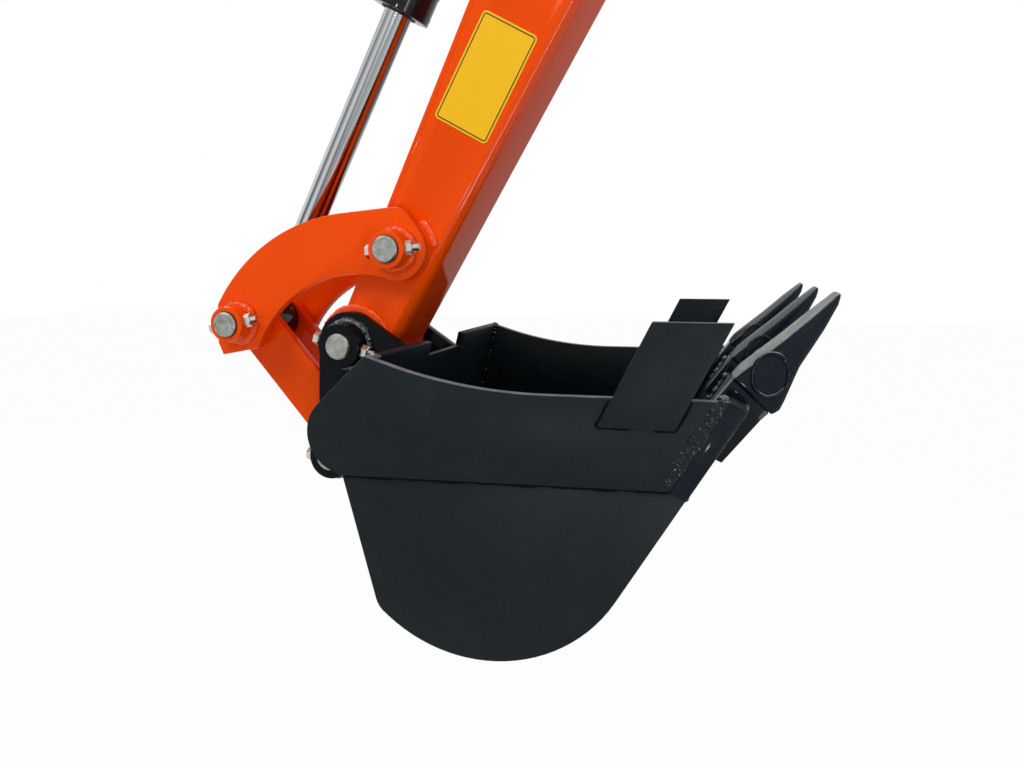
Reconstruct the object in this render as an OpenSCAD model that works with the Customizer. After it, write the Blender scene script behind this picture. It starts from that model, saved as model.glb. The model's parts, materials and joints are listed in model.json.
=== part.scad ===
// Mini excavator dipper arm with bucket linkage, bucket cylinder and toothed bucket.
// Origin: centre of the boom pivot bore. X points to the machine, Y runs along the pins, Z is up.
// Pose drawn: bucket fully curled, cylinder fully out. Millimetres and degrees.

/* [Arm] */
// boom pivot to bucket pivot
arm_length = 820; // [760:5:900]
// lean of the arm from the vertical
arm_lean = 30.5; // [24:0.5:36]
// width of the arm box
arm_width = 90; // [84:2:104]
// wall of the pressed channel and of the cover
arm_wall = 6; // [5:0.5:8]
// outside radius of the two pressed bends
arm_bend_r = 12; // [9:0.5:16]
// pivot line to the inner face
inner_depth = 40; // [39:0.5:46]
// pivot line to the outer face at the bucket pivot
outer_low = 26.3; // [25:0.5:32]
// pivot line to the outer face at the boom pivot
outer_high = 101; // [92:1:112]
// boom pivot to arm cylinder pin, along the arm
horn_up = 150; // [140:2:170]
// pivot line to arm cylinder pin
horn_out = 42; // [36:1:50]
// boom pivot and arm cylinder pin diameter
boom_pin_d = 30; // [28:1:35]
// weld collar standing proud of the arm side
collar_proud = 4.5; // [3:0.5:6]

/* [Linkage] */
// pin diameter of the linkage and the bucket
pin_d = 27; // [24:1:30]
// radial clearance of a pin in its bore
pin_fit = 0.05; // [0.03:0.01:0.1]
// side play between the arm and what straddles it
side_clear = 0.5; // [0.4:0.1:1]
// bucket pivot to rocker pivot, along the arm
rocker_up = 114.6; // [110:0.2:122]
// pivot line to rocker pivot
rocker_out = 2.5; // [0:0.5:4]
// rocker pivot to knuckle pin
rocker_length = 206; // [202:1:210]
// thickness of a rocker plate
rocker_t = 12; // [10:1:15]
// back of the rocker above its pin line
rocker_back = 68.5; // [64:0.5:73]
// rise of the rocker back from its foot
rocker_bow = 39.5; // [36:0.5:44]
// rise of the rocker belly from its foot
rocker_hollow = 38; // [34:0.5:42]
// radius of the rocker round its pivot
rocker_eye_r = 32.5; // [30:0.5:36]
// radius of the rocker's top corner
rocker_corner_r = 20; // [16:0.5:24]
// knuckle pin to bucket link pin
link_length = 184; // [181:1:187]
// half width of a link plate
link_half = 26; // [24:0.5:30]
// thickness of a link plate
link_t = 12; // [10:1:14]
// outside radius of the rocker bosses
rocker_boss_r = 19.5; // [18:0.5:24]
// outer end of every pin boss from the middle plane
boss_end = 87; // [82:1:94]
// pin end standing out of its boss
pin_proud = 4; // [2:0.5:6]

/* [Cylinder] */
// boom pivot to cylinder base pin, along the arm
base_back = 73; // [66:1:84]
// pivot line to cylinder base pin
base_out = 165; // [160:1:174]
// outside diameter of the barrel
barrel_d = 60; // [58:1:64]
// inside diameter of the barrel
barrel_bore = 50; // [46:1:52]
// diameter of the rod
rod_d = 30; // [28:1:34]
// outside diameter of the gland nut
gland_d = 66; // [64:1:70]
// length of the gland nut
gland_len = 36; // [32:1:38]
// width of the rod and base eyes
eye_width = 44; // [40:1:46]
// bare rod from knuckle pin to gland, cylinder out
rod_out = 373; // [364:1:376]

/* [Bucket] */
// bucket pivot to bucket link pin
bucket_pins = 121; // [119:0.5:124]
// lean of the pin line from the vertical
bucket_pin_lean = 7.1; // [5:0.1:9]
// cutting width
bucket_width = 400; // [360:5:450]
// thickness of the upper side plates
side_t = 10; // [8:1:12]
// thickness of the lower side sheets
sheet_t = 5; // [4:0.5:7]
// thickness of the wrapper
shell_t = 8; // [6:0.5:9]
// top of the back, right of the bucket pivot
back_x = 84; // [80:1:90]
// top of the back, above the bucket pivot
back_z = 6; // [2:1:10]
// bend of the back, right of the bucket pivot
knee_x = 56; // [53:1:60]
// bend of the back, below the bucket pivot
knee_z = 104; // [101:1:108]
// radius of the floor
floor_r = 140; // [135:1:145]
// middle of the floor radius, right of the bucket pivot
floor_x = 187; // [184:1:192]
// middle of the floor radius, below the bucket pivot
floor_z = 128; // [125:1:132]
// rise of the front and the lip
front_angle = 59.5; // [57:0.5:62]
// flat front below the lip
front_run = 110; // [100:1:120]
// height of the lip plate
lip_w = 88; // [84:1:94]
// thickness of the lip plate
lip_t = 15; // [13:0.5:18]
// radius of the side plate lobe round the back
lobe_r = 37; // [34:1:40]
// thickness of an ear
ear_t = 14; // [12:1:16]
// radius of the ear round the bucket pivot
ear_r = 35; // [33:0.5:38]
// outside radius of the ear bosses
ear_boss_r = 23.5; // [22:0.5:26]
// half width of the notch over the arm
notch_half = 53; // [52:0.5:56]
// depth of the notch
notch_deep = 16; // [12:1:18]
// length of a side cutter along its top
wing_w = 62; // [56:1:68]
// height of a side cutter
wing_h = 86; // [80:1:92]
// thickness of a side cutter
wing_t = 8; // [6:0.5:10]
// width of a tooth at its base
tooth_w = 48; // [44:1:54]
// tooth width left at the tip
tip_w = 38; // [32:1:44]
// crown of the tooth's top over its sides
tooth_crown = 4; // [2:0.5:6]
// lip edge to tooth tip
tooth_reach = 111; // [104:1:118]
// middle of an outer tooth to the bucket side
tooth_inset = 52; // [46:1:60]

/* [Hidden] */
$fn = 64;
// plane of the arm and the places on it
D = [-arm_length * sin(arm_lean), -arm_length * cos(arm_lean)];
arm_angle = 90 - arm_lean;
function arm_pt(u, v) = D + u * [sin(arm_lean), cos(arm_lean)] + v * [-cos(arm_lean), sin(arm_lean)];
function unit(v) = v / norm(v);
function angle_of(v) = atan2(v[1], v[0]);
// the point at rp from p and rq from q, on the left of p to q when side is 1
function meet(p, rp, q, rq, side) = let (d = norm(q - p), e = unit(q - p),
    a = (d * d + rp * rp - rq * rq) / (2 * d), h = sqrt(rp * rp - a * a))
    p + a * e + side * h * [-e[1], e[0]];
// where the line from p touches the circle r about c
function touch_angle(p, c, r, side) = angle_of(p - c) + side * acos(r / norm(p - c));
function touch(p, c, r, side) = let (a = touch_angle(p, c, r, side)) c + r * [cos(a), sin(a)];
function arc(c, r, a0, a1, n) = [for (i = [0:n]) c + r * [cos(a0 + (a1 - a0) * i / n),
    sin(a0 + (a1 - a0) * i / n)]];
// a line of points moved t to its left
function left_of(p, q) = [-unit(q - p)[1], unit(q - p)[0]];
function moved(pts, t) = [for (i = [0:len(pts) - 1]) let (
    n0 = left_of(pts[max(i - 1, 0)], pts[max(i, 1)]),
    n1 = left_of(pts[min(i, len(pts) - 2)], pts[min(i + 1, len(pts) - 1)]))
    pts[i] + t * (n0 + n1) / (1 + n0 * n1)];
function turned(pts) = [for (i = [len(pts) - 1:-1:0]) pts[i]];
// a corner b between a and c rounded to r
function corner(a, b, c, r, n) = let (u = unit(a - b), v = unit(c - b), half = acos(u * v) / 2,
    o = b + unit(u + v) * r / sin(half), s = b + u * r / tan(half) - o, e = b + v * r / tan(half) - o,
    a0 = angle_of(s), d = angle_of(e) - a0, w = d > 180 ? d - 360 : d < -180 ? d + 360 : d)
    arc(o, r, a0, a0 + w, n);

pin_r = pin_d / 2;
bore_r = pin_r + pin_fit;
weld_gap = 0.15;
arm_half = arm_width / 2;
straddle = arm_half + collar_proud + side_clear;
pin_end = boss_end + pin_proud;
eye_half = eye_width / 2;
link_in = eye_half + 2;
link_out = straddle - 2;
boom_bore_r = boom_pin_d / 2 + pin_fit;
link_boss_r = pin_r + 9;
link_tube_r = pin_r + 7;
B = arm_pt(rocker_up, rocker_out);
C = D - bucket_pins * [sin(bucket_pin_lean), cos(bucket_pin_lean)];
A = meet(B, rocker_length, C, link_length, -1);
base_up = arm_length - base_back;
E = arm_pt(base_up, base_out);
through = 4 * boss_end;
// width of the collars round the pivot tubes, and reach of the bracket's foot and rim
collar_w = 10;
bucket_collar_w = 9.5;
bracket_foot = 80;
bracket_rim = 2;
cylinder_len = norm(A - E);

// arm-local places: x along the arm from the bucket pivot, y out from the pivot line
slope = (outer_high - outer_low) / arm_length;
function outer(u) = outer_low + slope * u;
cover_t = arm_wall;
function under(u) = outer(u) - cover_t / cos(atan(slope));
heel_u = 29;
cover_u0 = 30;
shoulder_in = arm_length + 30;
shoulder_out = arm_length - 30;
G = [arm_length + horn_up, horn_out];
horn_r = boom_pin_d / 2 + 27;
nose_r = 36;
d_tube_r = pin_r + 15;
b_tube_r = pin_r + 9.5;
f_tube_r = boom_pin_d / 2 + 19;
g_tube_r = boom_pin_d / 2 + 13;
horn_gap = eye_half + 2;
bulk_u = arm_length + f_tube_r + 4;

// cylinder-local places: x from the base pin to the knuckle pin
eye_r = pin_r + 11.5;
base_r = pin_r + 14;
gland_x = cylinder_len - rod_out;
barrel_x = base_r + 9;
cap_t = 8;
piston_len = 18;
piston_x = gland_x - gland_len - 5;
port_r = 5.9;
port_boss_r = 11;
port_len = 14;
port_x0 = barrel_x + cap_t + 18;
port_x1 = gland_x - gland_len / 2 - 2;
bracket_in = barrel_d / 2 + 1.5;
bracket_t = 12;

// bucket-local places: x right of and y above the bucket pivot
half_w = bucket_width / 2;
side_in = half_w - side_t;
top = [back_x, back_z];
knee = [knee_x, -knee_z];
floor_c = [floor_x, -floor_z];
heel = floor_c + floor_r * [cos(225), sin(225)];
front_dir = [cos(front_angle), sin(front_angle)];
front_start = floor_c + floor_r * [cos(front_angle - 90), sin(front_angle - 90)];
lip0 = front_start + front_run * front_dir;
lip_in = lip_t * [-sin(front_angle), cos(front_angle)];
lip0_in = lip0 + lip_in;
lip1_in = lip0_in + lip_w * front_dir;
floor_line = concat(corner(knee, heel, heel + [10, -10], 24, 3),
    arc(floor_c, floor_r, 231, 270 + front_angle, 26), [lip0]);
shell_line = concat([top, knee], floor_line);
lobe_c = [knee_x + 6, -knee_z + lobe_r + 1];
mouth_r = 466;
mouth_c = meet(top, mouth_r, [250, back_z - 28], mouth_r, 1);
ear_top = knee + 0.84 * (top - knee);
ear_low = knee + 0.36 * (heel - knee);
Cl = C - D;
ear_c_r = ear_boss_r + 2;
wing_lean = 64;
wing0 = lip1_in + [-42 - wing_w, -24];
tooth_back = lip_w + 6;
tip_s = lip_w + tooth_reach;
tooth_pitch = half_w - tooth_inset;
tooth_gap = 0.4;

orange = [0.9, 0.2, 0.02];
black = [0.1, 0.11, 0.12];
steel = [0.6, 0.6, 0.58];
chrome = [0.8, 0.81, 0.83];

// helpers: a frame at p with x turned by a, a plate across y, a bar across y
module at(p, a) translate([p[0], 0, p[1]]) rotate([0, -a, 0]) children();
module plate(y0, y1) translate([0, y1, 0]) rotate([90, 0, 0]) linear_extrude(y1 - y0) children();
module bar(p, r, y0, y1) translate([p[0], y0, p[1]]) rotate([-90, 0, 0]) cylinder(r = r, h = y1 - y0);
module pin(p, y0, y1) {
    bar(p, pin_r, y0 + 1, y1 - 1);
    translate([p[0], y0, p[1]]) rotate([-90, 0, 0]) cylinder(r1 = pin_r - 1, r2 = pin_r, h = 1);
    translate([p[0], y1 - 1, p[1]]) rotate([-90, 0, 0]) cylinder(r1 = pin_r, r2 = pin_r - 1, h = 1);
}
module disc(p, r) translate(p) circle(r);
module in_arm() at(D, arm_angle) children();
module in_rocker() at(A, angle_of(B - A)) children();
module in_link() at(A, angle_of(C - A)) children();
module in_cylinder() at(E, angle_of(A - E)) children();
module in_bucket() at(D, 0) children();
module in_lip() at(D + lip0, front_angle) children();
// left is the near side, y below zero
module side(s) scale([1, s, 1]) children();

// pressed channel: inner face, two sides, horns for the arm cylinder
module channel_section() difference() {
    union() {
        translate([-arm_half, -inner_depth + arm_bend_r]) square([arm_width, 300]);
        translate([-arm_half + arm_bend_r, -inner_depth]) square([arm_width - 2 * arm_bend_r, 60]);
        for (s = [-1, 1]) disc([s * (arm_half - arm_bend_r), -inner_depth + arm_bend_r], arm_bend_r);
    }
    translate([-arm_half + arm_wall, -inner_depth + arm_bend_r]) square([arm_width - 2 * arm_wall, 400]);
    translate([-arm_half + arm_bend_r, -inner_depth + arm_wall]) square([arm_width - 2 * arm_bend_r, 60]);
    for (s = [-1, 1])
        disc([s * (arm_half - arm_bend_r), -inner_depth + arm_bend_r], arm_bend_r - arm_wall);
}
module channel_side() {
    p_in = [shoulder_in, -inner_depth];
    p_out = [shoulder_out, under(shoulder_out)];
    heel_p = [heel_u, -inner_depth];
    polygon([heel_p, p_in, touch(p_in, G, horn_r, 1), G, touch(p_out, G, horn_r, -1), p_out,
        [cover_u0, under(cover_u0)], [0, 0], touch(heel_p, [0, 0], nose_r, -1)]);
    disc(G, horn_r);
    disc([0, 0], nose_r);
}
module arm_channel() color(orange) in_arm() difference() {
    intersection() {
        translate([-60, 0, 0]) rotate([90, 0, 90]) linear_extrude(arm_length + 400) channel_section();
        plate(-arm_half, arm_half) channel_side();
    }
    translate([-100, -arm_half + arm_wall, -100]) cube([100 + heel_u, arm_width - 2 * arm_wall, 200]);
    bar([0, 0], d_tube_r + weld_gap, -arm_half, arm_half);
    bar([rocker_up, rocker_out], b_tube_r + weld_gap, -arm_half, arm_half);
    bar([arm_length, 0], f_tube_r + weld_gap, -arm_half, arm_half);
    bar(G, g_tube_r + weld_gap, -arm_half, arm_half);
}
module arm_cover() color(orange) in_arm() plate(-arm_half, arm_half)
    polygon([[cover_u0, under(cover_u0)], [shoulder_out, under(shoulder_out)],
        [shoulder_out, outer(shoulder_out)], [cover_u0, outer(cover_u0)]]);
module arm_bulkhead() color(orange) in_arm() plate(-arm_half + arm_wall, arm_half - arm_wall)
    translate([bulk_u, -inner_depth + arm_bend_r]) square([arm_wall, inner_depth + outer_high - 36]);
// cross tube with a collar on each side
module cross_tube(p, r, collar_r, b) difference() {
    union() {
        bar(p, r, -arm_half, arm_half);
        for (s = [-1, 1]) side(s) bar(p, collar_r, arm_half, arm_half + collar_proud);
    }
    bar(p, b, -through, through);
}
module bucket_pivot_tube() color(orange) in_arm() cross_tube([0, 0], d_tube_r, d_tube_r + bucket_collar_w, bore_r);
module rocker_pivot_tube() color(orange) in_arm()
    cross_tube([rocker_up, rocker_out], b_tube_r, b_tube_r + collar_w, bore_r);
module boom_pivot_tube() color(orange) in_arm()
    cross_tube([arm_length, 0], f_tube_r, f_tube_r + collar_w, boom_bore_r);
module horn_boss() in_arm() difference() {
    bar(G, g_tube_r, horn_gap, arm_half + collar_proud);
    bar(G, boom_bore_r, 0, through);
}
module arm_cylinder_boss_left() color(orange) side(-1) horn_boss();
module arm_cylinder_boss_right() color(orange) side(1) horn_boss();
module bracket() in_arm() difference() {
    e = [base_up, base_out];
    union() {
        plate(bracket_in, bracket_in + bracket_t) {
            f0 = [base_up - bracket_foot, outer(base_up - bracket_foot)];
            f1 = [shoulder_out - bracket_rim, outer(shoulder_out - bracket_rim)];
            polygon([f0, f1, touch(f1, e, base_r + bracket_rim, 1), e, touch(f0, e, base_r + bracket_rim, -1)]);
            disc(e, base_r + bracket_rim);
        }
        bar(e, link_boss_r, link_in, bracket_in);
    }
    bar(e, bore_r, 0, through);
}
module cylinder_bracket_left() color(orange) side(-1) bracket();
module cylinder_bracket_right() color(orange) side(1) bracket();
module cylinder_base_pin() color(steel) pin(E, -bracket_in - bracket_t - 6, bracket_in + bracket_t + 6);

// rocker: two crescent plates with outside bosses
module rocker_shape() {
    foot = [-17, rocker_back - rocker_bow];
    bite = [9.5, -34];
    mid = rocker_length / 2;
    // a bow of that half width and rise has this radius
    r_out = (pow(mid - foot[0], 2) + rocker_bow * rocker_bow) / (2 * rocker_bow);
    r_in = (pow(mid - bite[0], 2) + rocker_hollow * rocker_hollow) / (2 * rocker_hollow);
    c_out = [mid, rocker_back - r_out];
    c_in = [mid, bite[1] + rocker_hollow - r_in];
    eye = [rocker_length, 0];
    shoulder = eye + [7.5, 22.5];
    // the straight top and end are common tangents of the back, the corner and the eye
    t0 = angle_of(shoulder - c_out) + acos((r_out - rocker_corner_r) / norm(shoulder - c_out));
    t1 = angle_of(eye - shoulder) + acos((rocker_corner_r - rocker_eye_r) / norm(eye - shoulder));
    // the hollow runs into the eye, or ends at the eye's nearest point where a longer rocker parts them
    r_neck = max(r_in, norm(eye - c_in) - rocker_eye_r + 0.01);
    neck = meet(c_in, r_neck, eye, rocker_eye_r, 1);
    polygon(concat(arc(c_out, r_out, angle_of(foot - c_out), t0, 24),
        arc(shoulder, rocker_corner_r, t0, t1, 10),
        arc(eye, rocker_eye_r, t1, angle_of(neck - eye), 26),
        arc(c_in, r_in, angle_of(neck - c_in), angle_of(bite - c_in), 24),
        [bite + [-45, 9.5], foot + [-18.5, -39]]));
}
module rocker_half() in_rocker() difference() {
    union() {
        plate(straddle, straddle + rocker_t) rocker_shape();
        for (x = [0, rocker_length]) bar([x, 0], rocker_boss_r, straddle + rocker_t, boss_end);
    }
    for (x = [0, rocker_length]) bar([x, 0], bore_r, 0, through);
}
module rocker_left() color(orange) side(-1) rocker_half();
module rocker_right() color(orange) side(1) rocker_half();
module rocker_pin() color(steel) pin(B, -pin_end, pin_end);
module knuckle_pin_ends() color(steel) for (s = [-1, 1]) side(s) pin(A, straddle, pin_end);

// bucket link: two plates, a boss at each knuckle end, one tube at the bucket end
module link_half_body() in_link() difference() {
    union() {
        plate(link_in, link_in + link_t) {
            translate([0, -link_half]) square([link_length, 2 * link_half]);
            disc([0, 0], link_half);
            disc([link_length, 0], link_half);
        }
        bar([0, 0], link_boss_r, link_in + link_t, link_out);
    }
    bar([0, 0], bore_r, 0, through);
    bar([link_length, 0], link_tube_r + weld_gap, 0, through);
}
module link_left() color(orange) side(-1) link_half_body();
module link_right() color(orange) side(1) link_half_body();
module link_tube() color(orange) difference() {
    bar(C, link_tube_r, -link_out, link_out);
    bar(C, bore_r, -through, through);
}
module knuckle_pin_link() color(steel) for (s = [-1, 1]) side(s) pin(A, link_in, link_out);

// bucket cylinder
module barrel() color(black) in_cylinder() difference() {
    union() {
        translate([barrel_x, 0, 0]) rotate([0, 90, 0])
            cylinder(d = barrel_d, h = gland_x - gland_len - barrel_x);
        bar([port_x0, 0], port_boss_r, barrel_d / 2 - 4, barrel_d / 2 + port_len);
    }
    translate([barrel_x + cap_t, 0, 0]) rotate([0, 90, 0]) cylinder(d = barrel_bore, h = cylinder_len);
    bar([port_x0, 0], port_r, barrel_bore / 2 - 6, barrel_d);
}
module base_eye() color(black) in_cylinder() difference() {
    union() {
        bar([0, 0], base_r, -eye_half, eye_half);
        translate([0, -eye_half, -barrel_bore / 2 + 4]) cube([barrel_x, eye_width, barrel_bore - 8]);
    }
    bar([0, 0], bore_r, -through, through);
    translate([barrel_x, -eye_width, -eye_width]) cube(2 * eye_width);
}
// the rod side is fed through the gland
module gland() color(black) in_cylinder() difference() {
    union() {
        translate([gland_x - gland_len, 0, 0]) rotate([0, 90, 0]) cylinder(d = gland_d, h = gland_len);
        bar([port_x1, 0], port_boss_r, gland_d / 2 - 4, barrel_d / 2 + port_len);
    }
    translate([gland_x - gland_len - 1, 0, 0]) rotate([0, 90, 0]) cylinder(r = rod_d / 2 + 0.4, h = gland_len + 2);
    // oil space behind the seal
    translate([port_x1 + port_r + 1, 0, 0]) rotate([0, -90, 0]) cylinder(d = barrel_bore, h = gland_len);
    bar([port_x1, 0], port_r, barrel_bore / 2 - 6, barrel_d);
}
module rod() color(chrome) in_cylinder() rotate([0, 90, 0]) {
    translate([0, 0, piston_x]) cylinder(r = rod_d / 2, h = cylinder_len - eye_r + 2 - piston_x);
    translate([0, 0, piston_x - piston_len]) cylinder(r = barrel_bore / 2 - 0.5, h = piston_len);
}
module rod_eye() color(black) in_cylinder() difference() {
    bar([cylinder_len, 0], eye_r, -eye_half, eye_half);
    bar([cylinder_len, 0], bore_r, -through, through);
    translate([cylinder_len - 2 * eye_width - eye_r + 2, -eye_width, -eye_width]) cube(2 * eye_width);
}
module knuckle_pin_rod() color(steel) pin(A, -eye_half, eye_half);

// bucket
module bucket_wrapper() color(black) in_bucket() difference() {
    plate(-side_in, side_in) polygon(concat(shell_line, turned(moved(shell_line, shell_t))));
    translate([back_x - 60, -notch_half, back_z - notch_deep]) cube([120, 2 * notch_half, 60]);
}
module upper_side() in_bucket() plate(side_in, half_w) {
    a0 = angle_of(top - mouth_c);
    a1 = angle_of([250, back_z - 28] - mouth_c);
    polygon(concat(arc(mouth_c, mouth_r, a0, a1, 12), [lip1_in, lip0_in, knee],
        arc(lobe_c, lobe_r, touch_angle(knee, lobe_c, lobe_r, -1) + 360,
            touch_angle(top, lobe_c, lobe_r, 1), 16)));
}
module bucket_side_left() color(black) side(-1) upper_side();
module bucket_side_right() color(black) side(1) upper_side();
module lower_side() in_bucket() plate(side_in, side_in + sheet_t)
    polygon(concat([knee], floor_line, [lip0_in]));
module bucket_sheet_left() color(black) side(-1) lower_side();
module bucket_sheet_right() color(black) side(1) lower_side();
module bucket_lip() color(black) in_lip() translate([0, -half_w, 0]) cube([lip_w, bucket_width, lip_t]);
module side_cutter() in_bucket() plate(half_w, half_w + wing_t) {
    d = wing_h / tan(wing_lean);
    polygon([wing0, wing0 + [wing_w, 0], wing0 + [wing_w + d, wing_h], wing0 + [d, wing_h]]);
}
module side_cutter_left() color(black) side(-1) side_cutter();
module side_cutter_right() color(black) side(1) side_cutter();
// a socketed tooth on an adapter that straddles the lip
module nose(c) polygon([[tooth_back - 8, -12 - c], [tooth_back + 34 + c, -9 - c],
    [tooth_back + 34 + c, -3 + c], [tooth_back - 4, 14 + c]]);
module adapter(y) color(black) in_lip() translate([0, y, 0]) {
    plate(-tooth_w / 2 + 2, tooth_w / 2 - 2)
        polygon([[36, 0], [37, -9], [lip_w - 4, -15], [tooth_back - 2, -17], [tooth_back + 6, lip_t + 6],
            [60, lip_t + 10], [54, lip_t], [lip_w, lip_t], [lip_w, 0]]);
    plate(-tooth_w / 2 + 10, tooth_w / 2 - 10) nose(0);
}
module tooth(y) color(black) in_lip() translate([0, y, 0]) difference() {
    // the back lies off the adapter's front by the tooth gap
    back_slope = 8 / (lip_t + 23);
    base = [tooth_back + 6 + tooth_gap + back_slope * (1 + tooth_crown), lip_t + 7 + tooth_crown];
    tip = [tip_s, -9 + tooth_crown / 2];
    intersection() {
        plate(-tooth_w / 2, tooth_w / 2) polygon([[tooth_back - 2 + tooth_gap - 3 * back_slope, -20], [tooth_back + 12, -21],
            [tooth_back + 42, -16], [tip_s - 6, -16.5], [tip_s, -11], tip, base]);
        translate([0, 0, -tip_s]) linear_extrude(2 * tip_s) polygon([[0, -tooth_w / 2],
            [tooth_back + 20, -tooth_w / 2], [tip_s, -tip_w / 2], [tip_s, tip_w / 2],
            [tooth_back + 20, tooth_w / 2], [0, tooth_w / 2]]);
        // the roof follows the sloping top and falls to both sides
        translate([base[0], 0, base[1]]) rotate([0, -angle_of(tip - base), 0]) translate([-tip_s, 0, 0])
            rotate([90, 0, 90]) linear_extrude(3 * tip_s) polygon([[-tooth_w / 2, -tip_s],
                [tooth_w / 2, -tip_s], [tooth_w / 2, -tooth_crown], [tooth_w / 5, 0], [-tooth_w / 5, 0],
                [-tooth_w / 2, -tooth_crown]]);
    }
    plate(-tooth_w / 2 + 9.7, tooth_w / 2 - 9.7) nose(0.3);
}
module adapter_left() adapter(-tooth_pitch);
module adapter_middle() adapter(0);
module adapter_right() adapter(tooth_pitch);
module tooth_left() tooth(-tooth_pitch);
module tooth_middle() tooth(0);
module tooth_right() tooth(tooth_pitch);
module ear() in_bucket() difference() {
    union() {
        plate(straddle, straddle + ear_t) {
            a = angle_of(Cl);
            polygon([touch(ear_top, [0, 0], ear_r, 1), ear_top, knee, ear_low,
                touch(ear_low, Cl, ear_c_r, -1), Cl, Cl + ear_c_r * [cos(a - 90), sin(a - 90)],
                ear_r * [cos(a - 90), sin(a - 90)], [0, 0]]);
            disc([0, 0], ear_r);
            disc(Cl, ear_c_r);
        }
        for (p = [[0, 0], Cl]) bar(p, ear_boss_r, straddle + ear_t, boss_end);
    }
    for (p = [[0, 0], Cl]) bar(p, bore_r, 0, through);
}
module ear_left() color(black) side(-1) ear();
module ear_right() color(black) side(1) ear();
module bucket_pin() color(steel) pin(D, -pin_end, pin_end);
module link_pin() color(steel) pin(C, -pin_end, pin_end);

arm_channel();
arm_cover();
arm_bulkhead();
bucket_pivot_tube();
rocker_pivot_tube();
boom_pivot_tube();
arm_cylinder_boss_left();
arm_cylinder_boss_right();
cylinder_bracket_left();
cylinder_bracket_right();
cylinder_base_pin();
rocker_left();
rocker_right();
rocker_pin();
knuckle_pin_ends();
link_left();
link_right();
link_tube();
knuckle_pin_link();
barrel();
base_eye();
gland();
rod();
rod_eye();
knuckle_pin_rod();
bucket_wrapper();
bucket_side_left();
bucket_side_right();
bucket_sheet_left();
bucket_sheet_right();
bucket_lip();
side_cutter_left();
side_cutter_right();
adapter_left();
adapter_middle();
adapter_right();
tooth_left();
tooth_middle();
tooth_right();
ear_left();
ear_right();
bucket_pin();
link_pin();
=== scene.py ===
# %% [markdown]
# A mini excavator's dipper arm with its bucket, dressed over the solids of the model. The solids are
# the fixed frame: plates, tubes and pins are where they should be already, so this lesson adds what a
# solid model leaves out, such as weld beads, turned pin ends, lock bolts, cast teeth and paint.

# %% Load the frame
import json
import math

import bmesh
import bpy
import numpy as np
from mathutils import Matrix, Vector


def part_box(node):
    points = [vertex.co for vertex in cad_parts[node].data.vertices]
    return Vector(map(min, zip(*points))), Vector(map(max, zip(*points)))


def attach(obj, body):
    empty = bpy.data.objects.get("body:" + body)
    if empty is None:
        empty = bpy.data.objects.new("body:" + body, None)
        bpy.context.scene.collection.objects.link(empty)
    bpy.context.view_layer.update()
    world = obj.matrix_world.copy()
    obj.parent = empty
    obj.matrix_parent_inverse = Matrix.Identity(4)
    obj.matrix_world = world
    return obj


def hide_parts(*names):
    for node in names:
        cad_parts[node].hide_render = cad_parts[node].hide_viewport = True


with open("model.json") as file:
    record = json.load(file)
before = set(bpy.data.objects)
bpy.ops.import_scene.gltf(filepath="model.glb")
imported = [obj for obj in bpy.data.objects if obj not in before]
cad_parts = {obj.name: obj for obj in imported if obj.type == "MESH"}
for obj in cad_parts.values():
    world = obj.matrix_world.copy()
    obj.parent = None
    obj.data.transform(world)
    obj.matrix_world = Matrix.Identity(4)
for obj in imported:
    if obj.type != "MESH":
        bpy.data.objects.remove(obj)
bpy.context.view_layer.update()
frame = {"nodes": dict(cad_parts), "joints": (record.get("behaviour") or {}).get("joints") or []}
nodes = frame["nodes"]
pivot = {j["name"]: np.array(j.get("pos_m", (0, 0, 0)), float) for j in frame["joints"]}
BUCKET_PIVOT = pivot["bucket_curl"]
LINK_PIVOT = pivot["link_swing"]
ROCKER_PIVOT = pivot["rocker_swing"]
BASE_PIVOT = pivot["barrel_swing"]
KNUCKLE = np.array((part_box("knuckle_pin_rod")[0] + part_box("knuckle_pin_rod")[1]) / 2)
MM = 0.001
print("nodes:", len(nodes), "knuckle at", KNUCKLE.round(4))

# %% [markdown]
# The picture was taken from a little above the bucket's rim and to the right of the arm, quite close,
# so the near side looks larger than the far one. A camera could be aimed by eye, but perspective this
# strong needs the true distance, so its place and lens are numbers measured against the pins.

# %% Camera at the photograph's place
camera_data = bpy.data.cameras.new("photo_camera")
camera_data.sensor_fit = "HORIZONTAL"
camera_data.sensor_width = 36.0
camera_data.lens = 36.0 * 770 / 1024
camera_data.clip_end = 50
camera = bpy.data.objects.new("photo_camera", camera_data)
camera.location = Vector(BUCKET_PIVOT + np.array((0.3842, -0.8128, 0.0862)))
yaw, pitch = math.radians(15.12), math.radians(8.92)
look = Vector((-math.sin(yaw) * math.cos(pitch), math.cos(yaw) * math.cos(pitch), -math.sin(pitch)))
camera.rotation_euler = look.to_track_quat("-Z", "Y").to_euler()
bpy.context.scene.collection.objects.link(camera)
bpy.context.scene.camera = camera
print("camera at", [round(v, 3) for v in camera.location], "lens", round(camera_data.lens, 2))

# %% [markdown]
# The photograph is a cut-out on white. A pale floor some way below the bucket and a white sky for the
# camera's rays give that, while a softer, greyer sky and large lamps light the object itself, so that
# paint comes out near its written colour. Two small lamps put sharp glints on welds and edges, and a
# strip that lies along the arm draws the bright line on its fold.

# %% Node helpers


def plain_material(name):
    """A new node material, handed back with its Principled BSDF."""
    made = bpy.data.materials.new(name)
    made.use_nodes = True
    return made, made.node_tree.nodes["Principled BSDF"]


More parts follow.
